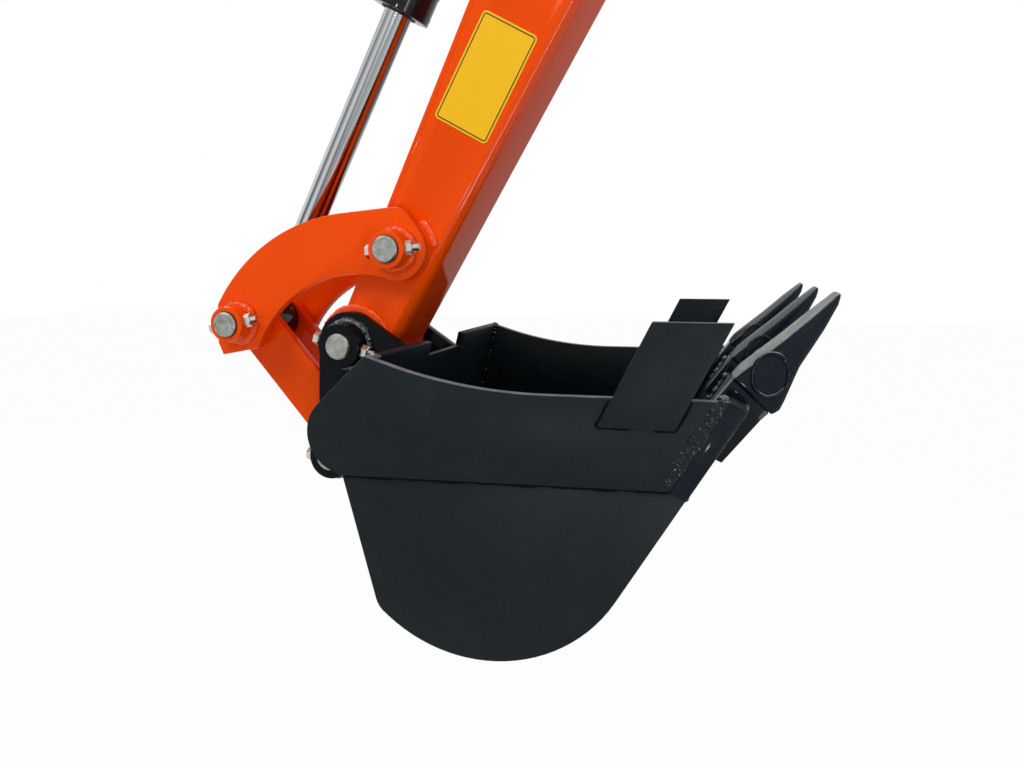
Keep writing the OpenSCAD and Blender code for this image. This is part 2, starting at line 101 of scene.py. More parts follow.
def sums(tree, operation, first, second, third=None):
    """A Math node on sockets or plain numbers."""
    made = tree.nodes.new("ShaderNodeMath")
    made.operation = operation
    for i, value in enumerate((first, second, third)):
        if value is None:
            continue
        if isinstance(value, (int, float)):
            made.inputs[i].default_value = value
        else:
            tree.links.new(value, made.inputs[i])
    return made.outputs[0]


def white_where_seen(tree, lit, white, end, share):
    """Mixes share of a white shader into a lit one for camera, glossy and transmission rays only."""
    rays = tree.nodes.new("ShaderNodeLightPath").outputs
    seen = sums(tree, "MAXIMUM", rays["Is Camera Ray"], rays["Is Glossy Ray"])
    seen = sums(tree, "MAXIMUM", seen, rays["Is Transmission Ray"])
    blend = tree.nodes.new("ShaderNodeMixShader")
    tree.links.new(sums(tree, "MULTIPLY", seen, share), blend.inputs["Fac"])
    tree.links.new(lit, blend.inputs[1])
    tree.links.new(white, blend.inputs[2])
    tree.links.new(blend.outputs["Shader"], tree.nodes[end].inputs["Surface"])


print("node helpers:", [f.__name__ for f in (plain_material, sums, white_where_seen)])

# %% [markdown]
# The floor is the white sheet of a product picture. It could be left out, but then nothing would throw
# light back on the bucket's underside. A plain grey does that, and rays that come from the camera or off
# a shiny part see it as white instead.

# %% Floor
FLOOR_Z, FLOOR_HALF, FLOOR_WHITE = -1.32, 9, 0.97
floor_mesh = bpy.data.meshes.new("floor")
floor_corners = [(x * FLOOR_HALF, y * FLOOR_HALF, FLOOR_Z) for x, y in ((-1, -1), (1, -1), (1, 1), (-1, 1))]
floor_mesh.from_pydata(floor_corners, [], [(0, 1, 2, 3)])
floor = bpy.data.objects.new("floor", floor_mesh)
bpy.context.scene.collection.objects.link(floor)
floor_paint, floor_shader = plain_material("floor_white")
floor_shader.inputs["Base Color"].default_value = (0.50, 0.50, 0.50, 1)
floor_shader.inputs["Roughness"].default_value = 0.9
floor_shader.inputs["Specular IOR Level"].default_value = 0.1
tree = floor_paint.node_tree
glow = tree.nodes.new("ShaderNodeEmission")
glow.inputs["Color"].default_value = (1, 1, 1, 1)
glow.inputs["Strength"].default_value = 1.0
white_where_seen(tree, floor_shader.outputs["BSDF"], glow.outputs["Emission"], "Material Output", FLOOR_WHITE)
floor_mesh.materials.append(floor_paint)
print("floor at", FLOOR_Z)

# %% [markdown]
# In a studio some light comes from all round. A picture of a studio could serve as the sky, but for
# paint as dull as this one pale tone is enough, and the camera sees plain white behind the object.

# %% Sky
SKY_LIGHT = 0.34
world = bpy.data.worlds.new("studio")
bpy.context.scene.world = world
world.use_nodes = True
tree = world.node_tree
sky = tree.nodes["Background"]
sky.inputs["Color"].default_value = (0.94, 0.97, 1.0, 1)
sky.inputs["Strength"].default_value = SKY_LIGHT
white = tree.nodes.new("ShaderNodeBackground")
white.inputs["Color"].default_value = (1, 1, 1, 1)
white.inputs["Strength"].default_value = 1.0
white_where_seen(tree, sky.outputs["Background"], white.outputs["Background"], "World Output", 1.0)
bpy.context.scene.view_settings.view_transform = "Standard"
print("sky lights the object at", SKY_LIGHT)

# %% [markdown]
# Lamps could be left at their default size, but paint shows what it reflects: a broad lamp gives a soft
# sheen and a small one a spark. So each lamp has a width and a length of its own, in metres, and the
# strip is turned along the arm, which carries its reflection the whole way down the fold.

# %% Lamps
ARM_WAY = (0.5075, 0, 0.8616)


def lamp(name, place, aim, size, length, power, along=(0, 0, 1)):
    """An area lamp at place that faces aim, size wide and length long in the direction nearest to along."""
    data = bpy.data.lights.new(name, "AREA")
    data.shape, data.size, data.size_y, data.energy = "RECTANGLE", size, length, power
    made = bpy.data.objects.new(name, data)
    made.location = Vector(place)
    back = (Vector(place) - Vector(aim)).normalized()
    upright = (Vector(along) - Vector(along).dot(back) * back).normalized()
    made.rotation_euler = Matrix((upright.cross(back), upright, back)).transposed().to_euler()
    bpy.context.scene.collection.objects.link(made)


middle = tuple(BUCKET_PIVOT + np.array((0.1, 0, 0.1)))
arm_fold = tuple(BUCKET_PIVOT + np.array((0.161, -0.045, 0.195)))
lamp("key", (-1.8, -2.3, 2.0), middle, 1.4, 1.4, 52)
lamp("fill", (0.9, -2.6, 0.4), middle, 2.0, 2.0, 4)
lamp("glint", (0.9, -2.0, 1.5), middle, 0.25, 0.25, 11)
lamp("low_glint", (-0.28, -2.1, -1.0), middle, 0.12, 0.12, 3.6)
lamp("fold_strip", (0.606, -1.194, -0.949), arm_fold, 0.18, 0.80, 4.2, ARM_WAY)
lamp("rim", (-1.9, 1.1, 1.2), middle, 1.4, 1.4, 40)
print("lamps:", [light.name for light in bpy.data.lights])

# %% [markdown]
# Every added piece is a surface: a grid of points in two parameters that is closed into quads. Pieces
# could be made from Blender's primitives, but a formula says exactly where each point lies, so one
# helper turns such a grid into a mesh; turned parts and weld beads are grids of their own kind.

# %% Grids into pieces


def surface(name, grids, body, material, sharp=None):
    """A piece made of one or more (rows, columns, 3) grids of points in metres.

    Neighbouring points of a grid make a quad, and the last column joins the first, as round a tube.
    Points that fall together, such as a pole's, are merged, and the faces turned outwards. Edges
    steeper than sharp degrees stay crisp.
    """
    points, quads, start = [], [], 0
    for grid in grids if isinstance(grids, list) else [grids]:
        rows, columns = grid.shape[:2]
        index = start + np.arange(rows * columns).reshape(rows, columns)
        index = np.concatenate((index, index[:, :1]), axis=1)
        corners = (index[:-1, :-1], index[:-1, 1:], index[1:, 1:], index[1:, :-1])
        quads.append(np.stack(corners, axis=-1).reshape(-1, 4))
        points.append(grid.reshape(-1, 3))
        start += rows * columns
    mesh = bpy.data.meshes.new(name)
    mesh.from_pydata(np.concatenate(points).tolist(), [], np.concatenate(quads).tolist())
    work = bmesh.new()
    work.from_mesh(mesh)
    bmesh.ops.remove_doubles(work, verts=work.verts, dist=2e-6)
    bmesh.ops.dissolve_degenerate(work, edges=work.edges, dist=1e-7)
    bmesh.ops.recalc_face_normals(work, faces=work.faces)
    work.to_mesh(mesh)
    work.free()
    mesh.shade_smooth()
    if sharp:
        mesh.set_sharp_from_angle(angle=math.radians(sharp))
    piece = bpy.data.objects.new(name, mesh)
    bpy.context.scene.collection.objects.link(piece)
    mesh.materials.append(material)
    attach(piece, body)
    return piece


print("grids become pieces by", surface.__name__)

# %% [markdown]
# Pins, bolts and rings are turned on a lathe. A Screw modifier could carry a profile round too, but a
# formula also makes a hexagon in the same way, since only its radius grows between the flats.

# %% Turned parts


def across(axis):
    """The axis made a unit vector, and two more that are square to it and to each other."""
    axis = np.asarray(axis, float) / np.linalg.norm(axis)
    help_axis = np.array((0, 0, 1.0)) if abs(axis[2]) < 0.9 else np.array((1.0, 0, 0))
    first = np.cross(help_axis, axis)
    first /= np.linalg.norm(first)
    return axis, first, np.cross(axis, first)


def turned(profile, place, axis, count=48, sides=0):
    """A grid for a turned part: place + h axis + r (cos t e1 + sin t e2) along a profile (r, h) in mm.

    With sides the radius is divided by the cosine of the angle from the nearest flat, which gives a
    prism of that many flats whose profile radius is half its width across flats.
    """
    axis, first, second = across(axis)
    profile = np.asarray(profile, float) * MM
    angle = np.linspace(0, 2 * np.pi, count, endpoint=False)
    grow = np.ones(count)
    if sides:
        step = 2 * np.pi / sides
        grow = 1 / np.cos((angle + step / 2) % step - step / 2)
    ring = np.cos(angle)[:, None] * first + np.sin(angle)[:, None] * second
    radius = profile[:, 0, None] * grow
    return np.asarray(place) + profile[:, 1, None, None] * axis + radius[..., None] * ring


def circle(place, axis, radius, count):
    """Points round a circle of that radius in mm, square to axis."""
    _, first, second = across(axis)
    angle = np.linspace(0, 2 * np.pi, count, endpoint=False)
    ring = np.cos(angle)[:, None] * first + np.sin(angle)[:, None] * second
    return np.asarray(place) + radius * MM * ring


hexagon = turned([(6.5, 0)], (0, 0, 0), (0, 0, 1), 48, 6)
print("13 mm across flats is", round(np.ptp(hexagon[..., 0]) / MM, 2), "mm across corners")

# %% [markdown]
# A weld could be a plain tube, but its ripple is what the eye looks for. The bead's radius therefore
# rises and falls with the length along its path, and slower waves keep any two stretches from matching.

# %% Weld beads


def frames(path, lean, closed):
    """Up and side along a path: up is lean made square to the path's own direction, side to both."""
    ahead = np.roll(path, -1, 0) - np.roll(path, 1, 0) if closed else np.gradient(path, axis=0)
    ahead /= np.linalg.norm(ahead, axis=1, keepdims=True)
    up = lean - (lean * ahead).sum(1, keepdims=True) * ahead
    up /= np.linalg.norm(up, axis=1, keepdims=True)
    return up, np.cross(ahead, up)


def spaced(corners, step):
    """A polyline resampled at equal steps of its length, in metres."""
    corners = np.asarray(corners, float)
    along = np.concatenate(([0], np.cumsum(np.linalg.norm(np.diff(corners, axis=0), axis=1))))
    want = np.linspace(0, along[-1], max(int(along[-1] / step), 6))
    return np.stack([np.interp(want, along, corners[:, i]) for i in range(3)], axis=1)


def weld(path, lean, size, seed, closed=False, pitch=4.5, flat=0.75):
    """A grid for a weld bead of radius size mm: a rippled tube carried along path.

    The radius is size times (0.86 + 0.14 |sin(pi (s + bulge cos t) / pitch)|^0.7), where s is the length
    so far, so each ripple bows back like a coin in a row; two slow sine waves swell and thin it, flat
    squeezes it across, and open ends close like a drop.
    """
    rng = np.random.default_rng(seed)
    lean = np.broadcast_to(np.asarray(lean, float), np.asarray(path).shape)
    up, side = frames(np.asarray(path, float), lean, closed)
    gone = np.linalg.norm(np.diff(path, axis=0, prepend=path[:1]), axis=1).cumsum() / MM
    total = gone[-1] + (np.linalg.norm(path[-1] - path[0]) / MM if closed else 0)
    pitch = total / max(round(total / pitch), 1)
    angle = np.linspace(0, 2 * np.pi, 12, endpoint=False)
    ripple = np.abs(np.sin(np.pi * (gone[:, None] + 0.45 * pitch * np.cos(angle)) / pitch)) ** 0.7
    slow = sum(a * np.sin(2 * np.pi * (k * gone / total + rng.random()))
               for a, k in ((0.10, int(total / 23) + 1), (0.07, int(total / 9.5) + 2)))
    radius = size * MM * (0.86 + 0.14 * ripple) * (1 + slow[:, None])
    if not closed:
        edge = np.minimum(gone, gone[-1] - gone) / size
        radius = radius * np.sqrt(np.clip(1 - (1 - np.clip(edge, 0, 1)) ** 2, 0, 1))[:, None]
    tube = path[:, None] + radius[..., None] * (np.cos(angle)[None, :, None] * up[:, None]
                                                + flat * np.sin(angle)[None, :, None] * side[:, None])
    return np.concatenate((tube, tube[:1])) if closed else tube


print("bead helpers:", [f.__name__ for f in (frames, spaced, weld)])

# %% [markdown]
# Paint on a welded machine is never one flat colour. Its film has a fine orange-peel, it pools a
# little and thins on edges, and it carries handling dust. These effects are shared by the orange and
# the black, so they are one shader group with its own values in each material.

# %% Shader helpers


def new_group(name, inputs, outputs):
    """An empty shader group with float or colour sockets, given as (name, kind, default)."""
    group = bpy.data.node_groups.new(name, "ShaderNodeTree")
    for title, kind, default in inputs:
        socket = group.interface.new_socket(title, in_out="INPUT", socket_type="NodeSocket" + kind)
        socket.default_value = default
    for title, kind in outputs:
        group.interface.new_socket(title, in_out="OUTPUT", socket_type="NodeSocket" + kind)
    return group, group.nodes.new("NodeGroupInput"), group.nodes.new("NodeGroupOutput")


def noise(tree, vector, scale, detail=3.0, rough=0.55):
    """A noise texture on vector, handed back as its value socket."""
    made = tree.nodes.new("ShaderNodeTexNoise")
    made.inputs["Scale"].default_value = scale
    made.inputs["Detail"].default_value = detail
    made.inputs["Roughness"].default_value = rough
    tree.links.new(vector, made.inputs["Vector"])
    return made.outputs["Fac"]


def mixed(tree, factor, first, second):
    """A colour Mix node on sockets or plain values."""
    made = tree.nodes.new("ShaderNodeMix")
    made.data_type = "RGBA"
    for socket, value in ((made.inputs["Factor"], factor), (made.inputs[6], first), (made.inputs[7], second)):
        if isinstance(value, (int, float, tuple)):
            socket.default_value = value
        else:
            tree.links.new(value, socket)
    return made.outputs[2]


def ramp(tree, value, low, high, smooth=False):
    """A Map Range node that takes low to 0 and high to 1, along a line or a smooth step."""
    made = tree.nodes.new("ShaderNodeMapRange")
    made.interpolation_type = "SMOOTHSTEP" if smooth else "LINEAR"
    made.inputs["From Min"].default_value = low
    made.inputs["From Max"].default_value = high
    tree.links.new(value, made.inputs["Value"])
    return made.outputs["Result"]


def roughen(tree, shader, height, strength, distance):
    """Feeds a height through a Bump node into a shader's normal."""
    made = tree.nodes.new("ShaderNodeBump")
    made.inputs["Strength"].default_value = strength
    made.inputs["Distance"].default_value = distance
    tree.links.new(height, made.inputs["Height"])
    tree.links.new(made.outputs["Normal"], shader.inputs["Normal"])


print("shader helpers:", [f.__name__ for f in (new_group, noise, mixed, ramp, roughen)])

# %% [markdown]
# The film reads two things: the place on the part, for noise at four scales, and the way the surface
# faces, because pale dust settles on what looks up, where the same pale tone is also painted sheen, a
# painted reflection of the bright sky, and a pressed fold, which leans between the side and the edge, is
# where the enamel lies thick and glossy. A texture could be painted instead, but values from place and
# facing fit any solid without unwrapping it.

# %% Paint film group
film, film_in, film_out = new_group("paint_film", [
    ("Colour", "Color", (1, 0.3, 0.05, 1)), ("Deep Colour", "Color", (0.6, 0.1, 0.01, 1)),
    ("Dust And Sheen Colour", "Color", (0.5, 0.45, 0.4, 1)), ("Pooling", "Float", 0.3), ("Dust", "Float", 0.1),
    ("Gloss", "Float", 0.25), ("Gloss Spread", "Float", 0.1), ("Upward Dust And Sheen", "Float", 0.0)],
    [("Colour", "Color"), ("Roughness", "Float"), ("Height", "Float"), ("Bend", "Float")])
given, made = film_in.outputs, film_out.inputs
coords = film.nodes.new("ShaderNodeTexCoord").outputs
facing = film.nodes.new("ShaderNodeSeparateXYZ")
film.links.new(coords["Normal"], facing.inputs[0])
upward_dust_and_sheen = ramp(film, facing.outputs["Z"], 0.45, 0.78, True)
leaning = sums(film, "ABSOLUTE", facing.outputs["Y"], 0.0)
off_edge, off_side = ramp(film, leaning, 0.10, 0.35, True), ramp(film, leaning, 0.985, 0.90, True)
film.links.new(sums(film, "MULTIPLY", off_edge, off_side), made["Bend"])
broad = noise(film, coords["Object"], 7.0, 4.0)
cloud = noise(film, coords["Object"], 38.0, 5.0, 0.65)
peel = noise(film, coords["Object"], 420.0, 2.0, 0.5)
speck = noise(film, coords["Object"], 900.0, 1.0, 0.4)
pool = sums(film, "MULTIPLY", sums(film, "SUBTRACT", broad, 0.38), given["Pooling"])
pool = sums(film, "MAXIMUM", pool, 0.0)
tone = mixed(film, pool, given["Colour"], given["Deep Colour"])
thick = sums(film, "MAXIMUM", sums(film, "SUBTRACT", cloud, 0.52), 0.0)
dust_and_sheen_share = sums(film, "MULTIPLY", thick, given["Dust"])
grain = sums(film, "MULTIPLY", given["Dust"], 0.25)
dust_and_sheen_share = sums(film, "ADD", dust_and_sheen_share, sums(film, "MULTIPLY", sums(film, "GREATER_THAN", speck, 0.69), grain))
# Painted sheen: the pale tone on faces that look up is partly settled dust and partly a painted reflection of the
# sky.
settled_dust_and_sheen = sums(film, "MULTIPLY", upward_dust_and_sheen, given["Upward Dust And Sheen"])
dust_and_sheen_share = sums(film, "ADD", dust_and_sheen_share, sums(film, "MULTIPLY", settled_dust_and_sheen, ramp(film, cloud, 0.20, 0.62)))
film.links.new(mixed(film, dust_and_sheen_share, tone, given["Dust And Sheen Colour"]), made["Colour"])
shine = sums(film, "MULTIPLY_ADD", sums(film, "SUBTRACT", cloud, 0.5), given["Gloss Spread"], given["Gloss"])
film.links.new(sums(film, "ADD", shine, sums(film, "MULTIPLY", dust_and_sheen_share, 0.5)), made["Roughness"])
film.links.new(sums(film, "ADD", peel, sums(film, "MULTIPLY", cloud, 1.5)), made["Height"])
print("paint_film has", len(film.nodes), "nodes")

# %% [markdown]
# Each paint is that film with its own colours and a Principled BSDF. A clear coat gives enamel its hard
# glint over a softer base, so the arm has one, while the bucket's plates, which are dull, have little or
# none. Welds and castings are glossier than the plate beside them and get paints of their own.

# %% Paints
PEEL_DEPTH, COAT_ROUGHNESS = 0.0004, 0.06


def paint(name, colour, deep, dust_and_sheen_colour, pooling, dust, gloss, spread, bump,
          coat=0.0, specular=0.5, upward_dust_and_sheen=0.0, coat_ior=1.4, bend_coat=None):
    """A painted-metal material: the film group drives colour, roughness and a shallow bump.

    The coat's weight is plain, or with bend_coat goes from coat to that on folds.
    """
    made, shader = plain_material(name)
    tree = made.node_tree
    group = tree.nodes.new("ShaderNodeGroup")
    group.node_tree = film
    for title, value in (("Colour", colour + (1,)), ("Deep Colour", deep + (1,)),
                         ("Dust And Sheen Colour", dust_and_sheen_colour + (1,)), ("Pooling", pooling), ("Dust", dust),
                         ("Gloss", gloss), ("Gloss Spread", spread), ("Upward Dust And Sheen", upward_dust_and_sheen)):
        group.inputs[title].default_value = value
    tree.links.new(group.outputs["Colour"], shader.inputs["Base Color"])
    tree.links.new(group.outputs["Roughness"], shader.inputs["Roughness"])
    roughen(tree, shader, group.outputs["Height"], bump, PEEL_DEPTH)
    shader.inputs["Coat Weight"].default_value = coat
    if bend_coat is not None:
        weight = sums(tree, "MULTIPLY_ADD", group.outputs["Bend"], bend_coat - coat, coat)
        tree.links.new(weight, shader.inputs["Coat Weight"])
    shader.inputs["Coat Roughness"].default_value = COAT_ROUGHNESS
    shader.inputs["Coat IOR"].default_value = coat_ior
    shader.inputs["Specular IOR Level"].default_value = specular
    return made


ORANGE = (0.92, 0.078, 0.0008)
orange = paint("orange_enamel", ORANGE, deep=(0.76, 0.049, 0.0005), dust_and_sheen_colour=(0.80, 0.20, 0.045),
               pooling=0.9, dust=0.10, gloss=0.3, spread=0.14, bump=0.22,
               coat=0.33, specular=0.0, coat_ior=1.3, bend_coat=1.0)
orange_weld = paint("orange_weld", ORANGE, deep=(0.72, 0.045, 0.0005), dust_and_sheen_colour=(0.80, 0.24, 0.10),
                    pooling=1.2, dust=0.1, gloss=0.3, spread=0.16, bump=0.5,
                    coat=0.6, specular=0.0, coat_ior=1.5)
gloss_black = paint("cylinder_black", (0.008, 0.008, 0.009), deep=(0.005, 0.005, 0.006),
                    dust_and_sheen_colour=(0.05, 0.05, 0.05), pooling=0.8, dust=0.2, gloss=0.25, spread=0.1,
                    bump=0.08, coat=0.5, specular=0.04)
print("paints of arm and cylinder:", [m.name for m in (orange, orange_weld, gloss_black)])

# %% [markdown]
# The bucket is a dull blue-black, and each of its surfaces looks a little different: pale dust lies on
# plates that face up, and that pale tone is also painted sheen, a painted reflection of the bright sky;
# the inside is painted darker as painted shade; and welds and castings shine. One black with masks would
# do, but a paint for each keeps its values plain to see.

# %% Paints of the bucket
# The pale dust colours also give painted sheen on upward faces, a painted reflection of the sky.
PALE_DUST_AND_SHEEN, WELD_DUST_AND_SHEEN = (0.30, 0.30, 0.32), (0.30, 0.31, 0.32)
black = paint("bucket_black", (0.0046, 0.0096, 0.0116), deep=(0.0027, 0.0061, 0.0089),
              dust_and_sheen_colour=PALE_DUST_AND_SHEEN, pooling=1.4, dust=0.06, gloss=0.44, spread=0.22, bump=0.16,
              specular=0.13, upward_dust_and_sheen=0.6)
# Painted shade: the bucket's inside is painted darker than its outside plates.
inside_shade_black = paint("bucket_inside_painted_shade", (0.0040, 0.0074, 0.0104), deep=(0.0024, 0.0048, 0.0078),
                     dust_and_sheen_colour=(0.050, 0.056, 0.064), pooling=1.4, dust=0.16, gloss=0.46, spread=0.22,
                     bump=0.2, specular=0.06, upward_dust_and_sheen=0.05)
black_weld = paint("black_weld", (0.0060, 0.0090, 0.0110), deep=(0.0035, 0.0060, 0.0090),
                   dust_and_sheen_colour=WELD_DUST_AND_SHEEN, pooling=1.4, dust=0.05, gloss=0.30, spread=0.3, bump=0.6,
                   coat=1.0, specular=0.03, upward_dust_and_sheen=0.3, coat_ior=1.55)
lip_weld = paint("lip_weld", (0.0075, 0.0110, 0.0125), deep=(0.0040, 0.0065, 0.0095),
                 dust_and_sheen_colour=WELD_DUST_AND_SHEEN, pooling=1.4, dust=0.05, gloss=0.30, spread=0.3, bump=0.6,
                 coat=0.32, specular=0.03, upward_dust_and_sheen=0.3)
lip_black = paint("lip_black", (0.0040, 0.0078, 0.0125), deep=(0.0025, 0.0052, 0.0092),
                  dust_and_sheen_colour=PALE_DUST_AND_SHEEN, pooling=1.4, dust=0.06, gloss=0.36, spread=0.22, bump=0.2,
                  coat=0.12, specular=0.06, upward_dust_and_sheen=0.15)
# Painted shadow: a near-black paint for the beads that stand for the dark line under a plate's lower edge.
painted_seam_shadow = paint("painted_seam_shadow", (0.0020, 0.0022, 0.0025), deep=(0.0012, 0.0014, 0.0016),
                   dust_and_sheen_colour=(0.02, 0.02, 0.02), pooling=1.0, dust=0.1, gloss=0.6, spread=0.2, bump=0.3,
                   specular=0.05)
ear_black = paint("ear_black", (0.0042, 0.0062, 0.0085), deep=(0.0028, 0.0045, 0.0065),
                  dust_and_sheen_colour=(0.06, 0.064, 0.066), pooling=1.4, dust=0.15, gloss=0.30, spread=0.2,
                  bump=0.14, coat=0.14, specular=0.02)
casting_film = dict(colour=(0.0035, 0.0080, 0.0140), deep=(0.0020, 0.0050, 0.0095),
                    dust_and_sheen_colour=(0.40, 0.43, 0.41), pooling=1.6, dust=0.04, gloss=0.30, spread=0.26, bump=0.6,
                    coat=0.22, specular=0.03, coat_ior=1.45)
# The near tooth's paint puts a pale tone on its top: partly dust, partly painted sheen standing for the sky's
# reflection.
cast = paint("tooth_cast_black", upward_dust_and_sheen=0.06, **casting_film)
dust_and_sheen_cast = paint("tooth_dust_and_sheen_black", upward_dust_and_sheen=0.85, **casting_film)
print("paints of the bucket:", [m.name for m in (black, inside_shade_black, black_weld, lip_weld, lip_black,
                                                 painted_seam_shadow, ear_black, cast, dust_and_sheen_cast)])

# %% [markdown]
# Pins are turned steel: their faces show fine rings round the centre and a bright chamfer. Bolts are
# zinc plated, with a slight colour drift. The rod is ground and chromed, and the seal wipes long
# streaks of oil along it, so its noise is stretched along the cylinder. The streaks' near-black tone is
# both oil and painted reflection of darker surroundings in the chrome.

# %% Bare metals
SCRATCH_DEPTH, OIL_AND_REFLECTION_STREAK = 0.0002, 0.0050


def metal(name, colour, tint, gloss, spread, fine, bump):
    """A bare metal: noise drifts its colour between two tones and its roughness, with a fine bump."""
    made, shader = plain_material(name)
    tree = made.node_tree
    place = tree.nodes.new("ShaderNodeTexCoord").outputs["Object"]
    drift = noise(tree, place, 60.0, 4.0, 0.6)
    scratch = noise(tree, place, fine, 3.0, 0.7)
    tree.links.new(mixed(tree, drift, colour + (1,), tint + (1,)), shader.inputs["Base Color"])
    dull = sums(tree, "MULTIPLY_ADD", sums(tree, "SUBTRACT", scratch, 0.5), spread, gloss)
    tree.links.new(dull, shader.inputs["Roughness"])
    roughen(tree, shader, scratch, bump, SCRATCH_DEPTH)
    shader.inputs["Metallic"].default_value = 1.0
    return made


pin_steel = metal("pin_steel", (0.36, 0.36, 0.34), (0.22, 0.225, 0.215),
                  gloss=0.42, spread=0.3, fine=900.0, bump=0.35)
zinc = metal("zinc_plate", (0.62, 0.61, 0.56), (0.45, 0.45, 0.43),
             gloss=0.28, spread=0.2, fine=500.0, bump=0.2)
ROD_WAY = (KNUCKLE - BASE_PIVOT) / np.linalg.norm(KNUCKLE - BASE_PIVOT)
chrome, shader = plain_material("rod_chrome")
tree = chrome.node_tree
along_rod = tree.nodes.new("ShaderNodeMapping")
along_rod.vector_type = "TEXTURE"
along_rod.inputs["Rotation"].default_value = (0, math.atan2(-ROD_WAY[2], ROD_WAY[0]), 0)
along_rod.inputs["Scale"].default_value = (1.0, OIL_AND_REFLECTION_STREAK, OIL_AND_REFLECTION_STREAK)
tree.links.new(tree.nodes.new("ShaderNodeTexCoord").outputs["Object"], along_rod.inputs["Vector"])
oil_and_reflection_streak = noise(tree, along_rod.outputs["Vector"], 1.0, 3.0, 0.5)
clean_and_bright = ramp(tree, oil_and_reflection_streak, 0.44, 0.66)
# Painted reflection: the near-black tone stands for oil and for dark surroundings mirrored in the chrome.
tone = mixed(tree, clean_and_bright, (0.07, 0.075, 0.078, 1), (0.56, 0.58, 0.60, 1))
tree.links.new(tone, shader.inputs["Base Color"])
tree.links.new(sums(tree, "MULTIPLY_ADD", oil_and_reflection_streak, 0.1, 0.06), shader.inputs["Roughness"])
shader.inputs["Metallic"].default_value = 1.0
print("metals:", [m.name for m in (pin_steel, zinc, chrome)])

# %% [markdown]
# The solids have knife-sharp edges, which no plate has: cutting, dressing and paint round them, and
# that thin bright line is what makes steel read as steel. The mesh of a solid may not be changed, so
# modifiers do it as the piece is shown: weld the loose triangles, dissolve flat ones, bevel what is
# left and smooth every edge that is blunter than a limit.

# %% Edge shading group
BLUNT, BEVEL_FROM, FLAT_WITHIN = math.radians(34), math.radians(38), math.radians(0.4)
shading = bpy.data.node_groups.new("smooth_blunt_edges", "GeometryNodeTree")
shading.interface.new_socket("Geometry", in_out="INPUT", socket_type="NodeSocketGeometry")
shading.interface.new_socket("Geometry", in_out="OUTPUT", socket_type="NodeSocketGeometry")
enter, leave = shading.nodes.new("NodeGroupInput"), shading.nodes.new("NodeGroupOutput")
strip = shading.nodes.new("GeometryNodeRemoveAttribute")
strip.inputs["Name"].default_value = "custom_normal"
all_smooth = shading.nodes.new("GeometryNodeSetShadeSmooth")
all_smooth.domain = "FACE"
blunt = shading.nodes.new("GeometryNodeInputMeshEdgeAngle")
limit = shading.nodes.new("FunctionNodeCompare")
limit.data_type, limit.operation = "FLOAT", "LESS_THAN"
limit.inputs["B"].default_value = BLUNT
edges_smooth = shading.nodes.new("GeometryNodeSetShadeSmooth")
edges_smooth.domain = "EDGE"
shading.links.new(enter.outputs[0], strip.inputs["Geometry"])
shading.links.new(strip.outputs[0], all_smooth.inputs["Geometry"])
shading.links.new(all_smooth.outputs[0], edges_smooth.inputs["Geometry"])
shading.links.new(blunt.outputs["Unsigned Angle"], limit.inputs["A"])
shading.links.new(limit.outputs["Result"], edges_smooth.inputs["Shade Smooth"])
shading.links.new(edges_smooth.outputs[0], leave.inputs[0])
print("edges blunter than", round(math.degrees(BLUNT)), "degrees are smooth")

# %% [markdown]
# Every solid then gets its finish: a paint or metal, and how far its edges are rounded, in mm. Rolled
# and pressed plates are rounder than turned collars, and castings are the roundest. Pins stay sharp,
# because turned pieces with chamfers will stand for them.

# %% Finish the solids


def dress(node, material, round_mm):
    """Gives a solid its material and, by modifiers, rounded and smoothly shaded edges."""
    piece = nodes[node]
    piece.data.materials.clear()
    piece.data.materials.append(material)
    join = piece.modifiers.new("join", "WELD")
    join.merge_threshold = 1e-5
    flat = piece.modifiers.new("flat", "DECIMATE")
    flat.decimate_type = "DISSOLVE"
    flat.angle_limit = FLAT_WITHIN
    if round_mm:
        edge = piece.modifiers.new("edge", "BEVEL")
        edge.width, edge.segments = round_mm * MM, 2
        edge.limit_method, edge.angle_limit = "ANGLE", BEVEL_FROM
        edge.use_clamp_overlap = True
    smooth = piece.modifiers.new("smooth", "NODES")
    smooth.node_group = shading


finish = {"bucket_lip": (lip_black, 0.9), "bucket_wrapper": (inside_shade_black, 0.9), "rod": (chrome, 0.5)}
for names, material, round_mm in (
        (("arm_channel", "arm_cover", "rocker_left", "rocker_right", "link_left", "link_right"), orange, 1.4),
        (("arm_bulkhead", "bucket_pivot_tube", "rocker_pivot_tube", "boom_pivot_tube", "link_tube",
          "arm_cylinder_boss_left", "arm_cylinder_boss_right",
          "cylinder_bracket_left", "cylinder_bracket_right"), orange, 1.0),
        (("bucket_side_left", "bucket_side_right", "bucket_sheet_left", "bucket_sheet_right",
          "side_cutter_left", "side_cutter_right"), black, 0.9),
        (("ear_left", "ear_right"), ear_black, 0.9),
        (("adapter_left", "adapter_middle", "adapter_right",
          "tooth_left", "tooth_middle", "tooth_right"), cast, 1.6),
        (("barrel", "base_eye", "gland", "rod_eye"), gloss_black, 1.0),
        (("cylinder_base_pin", "rocker_pin", "knuckle_pin_ends", "knuckle_pin_link", "knuckle_pin_rod",
          "bucket_pin", "link_pin"), pin_steel, 0.0)):
    finish.update({name: (material, round_mm) for name in names})
for name, (material, round_mm) in finish.items():
    dress(name, material, round_mm)
print("dressed", len(finish), "of", len(nodes), "nodes; left:", sorted(set(nodes) - set(finish)))

# %% [markdown]
# Pieces are placed in the same few frames that the real parts are drawn in: the bucket round its
# pivot, the arm along its pivot line, the lip along its slope and the cylinder along its rod.

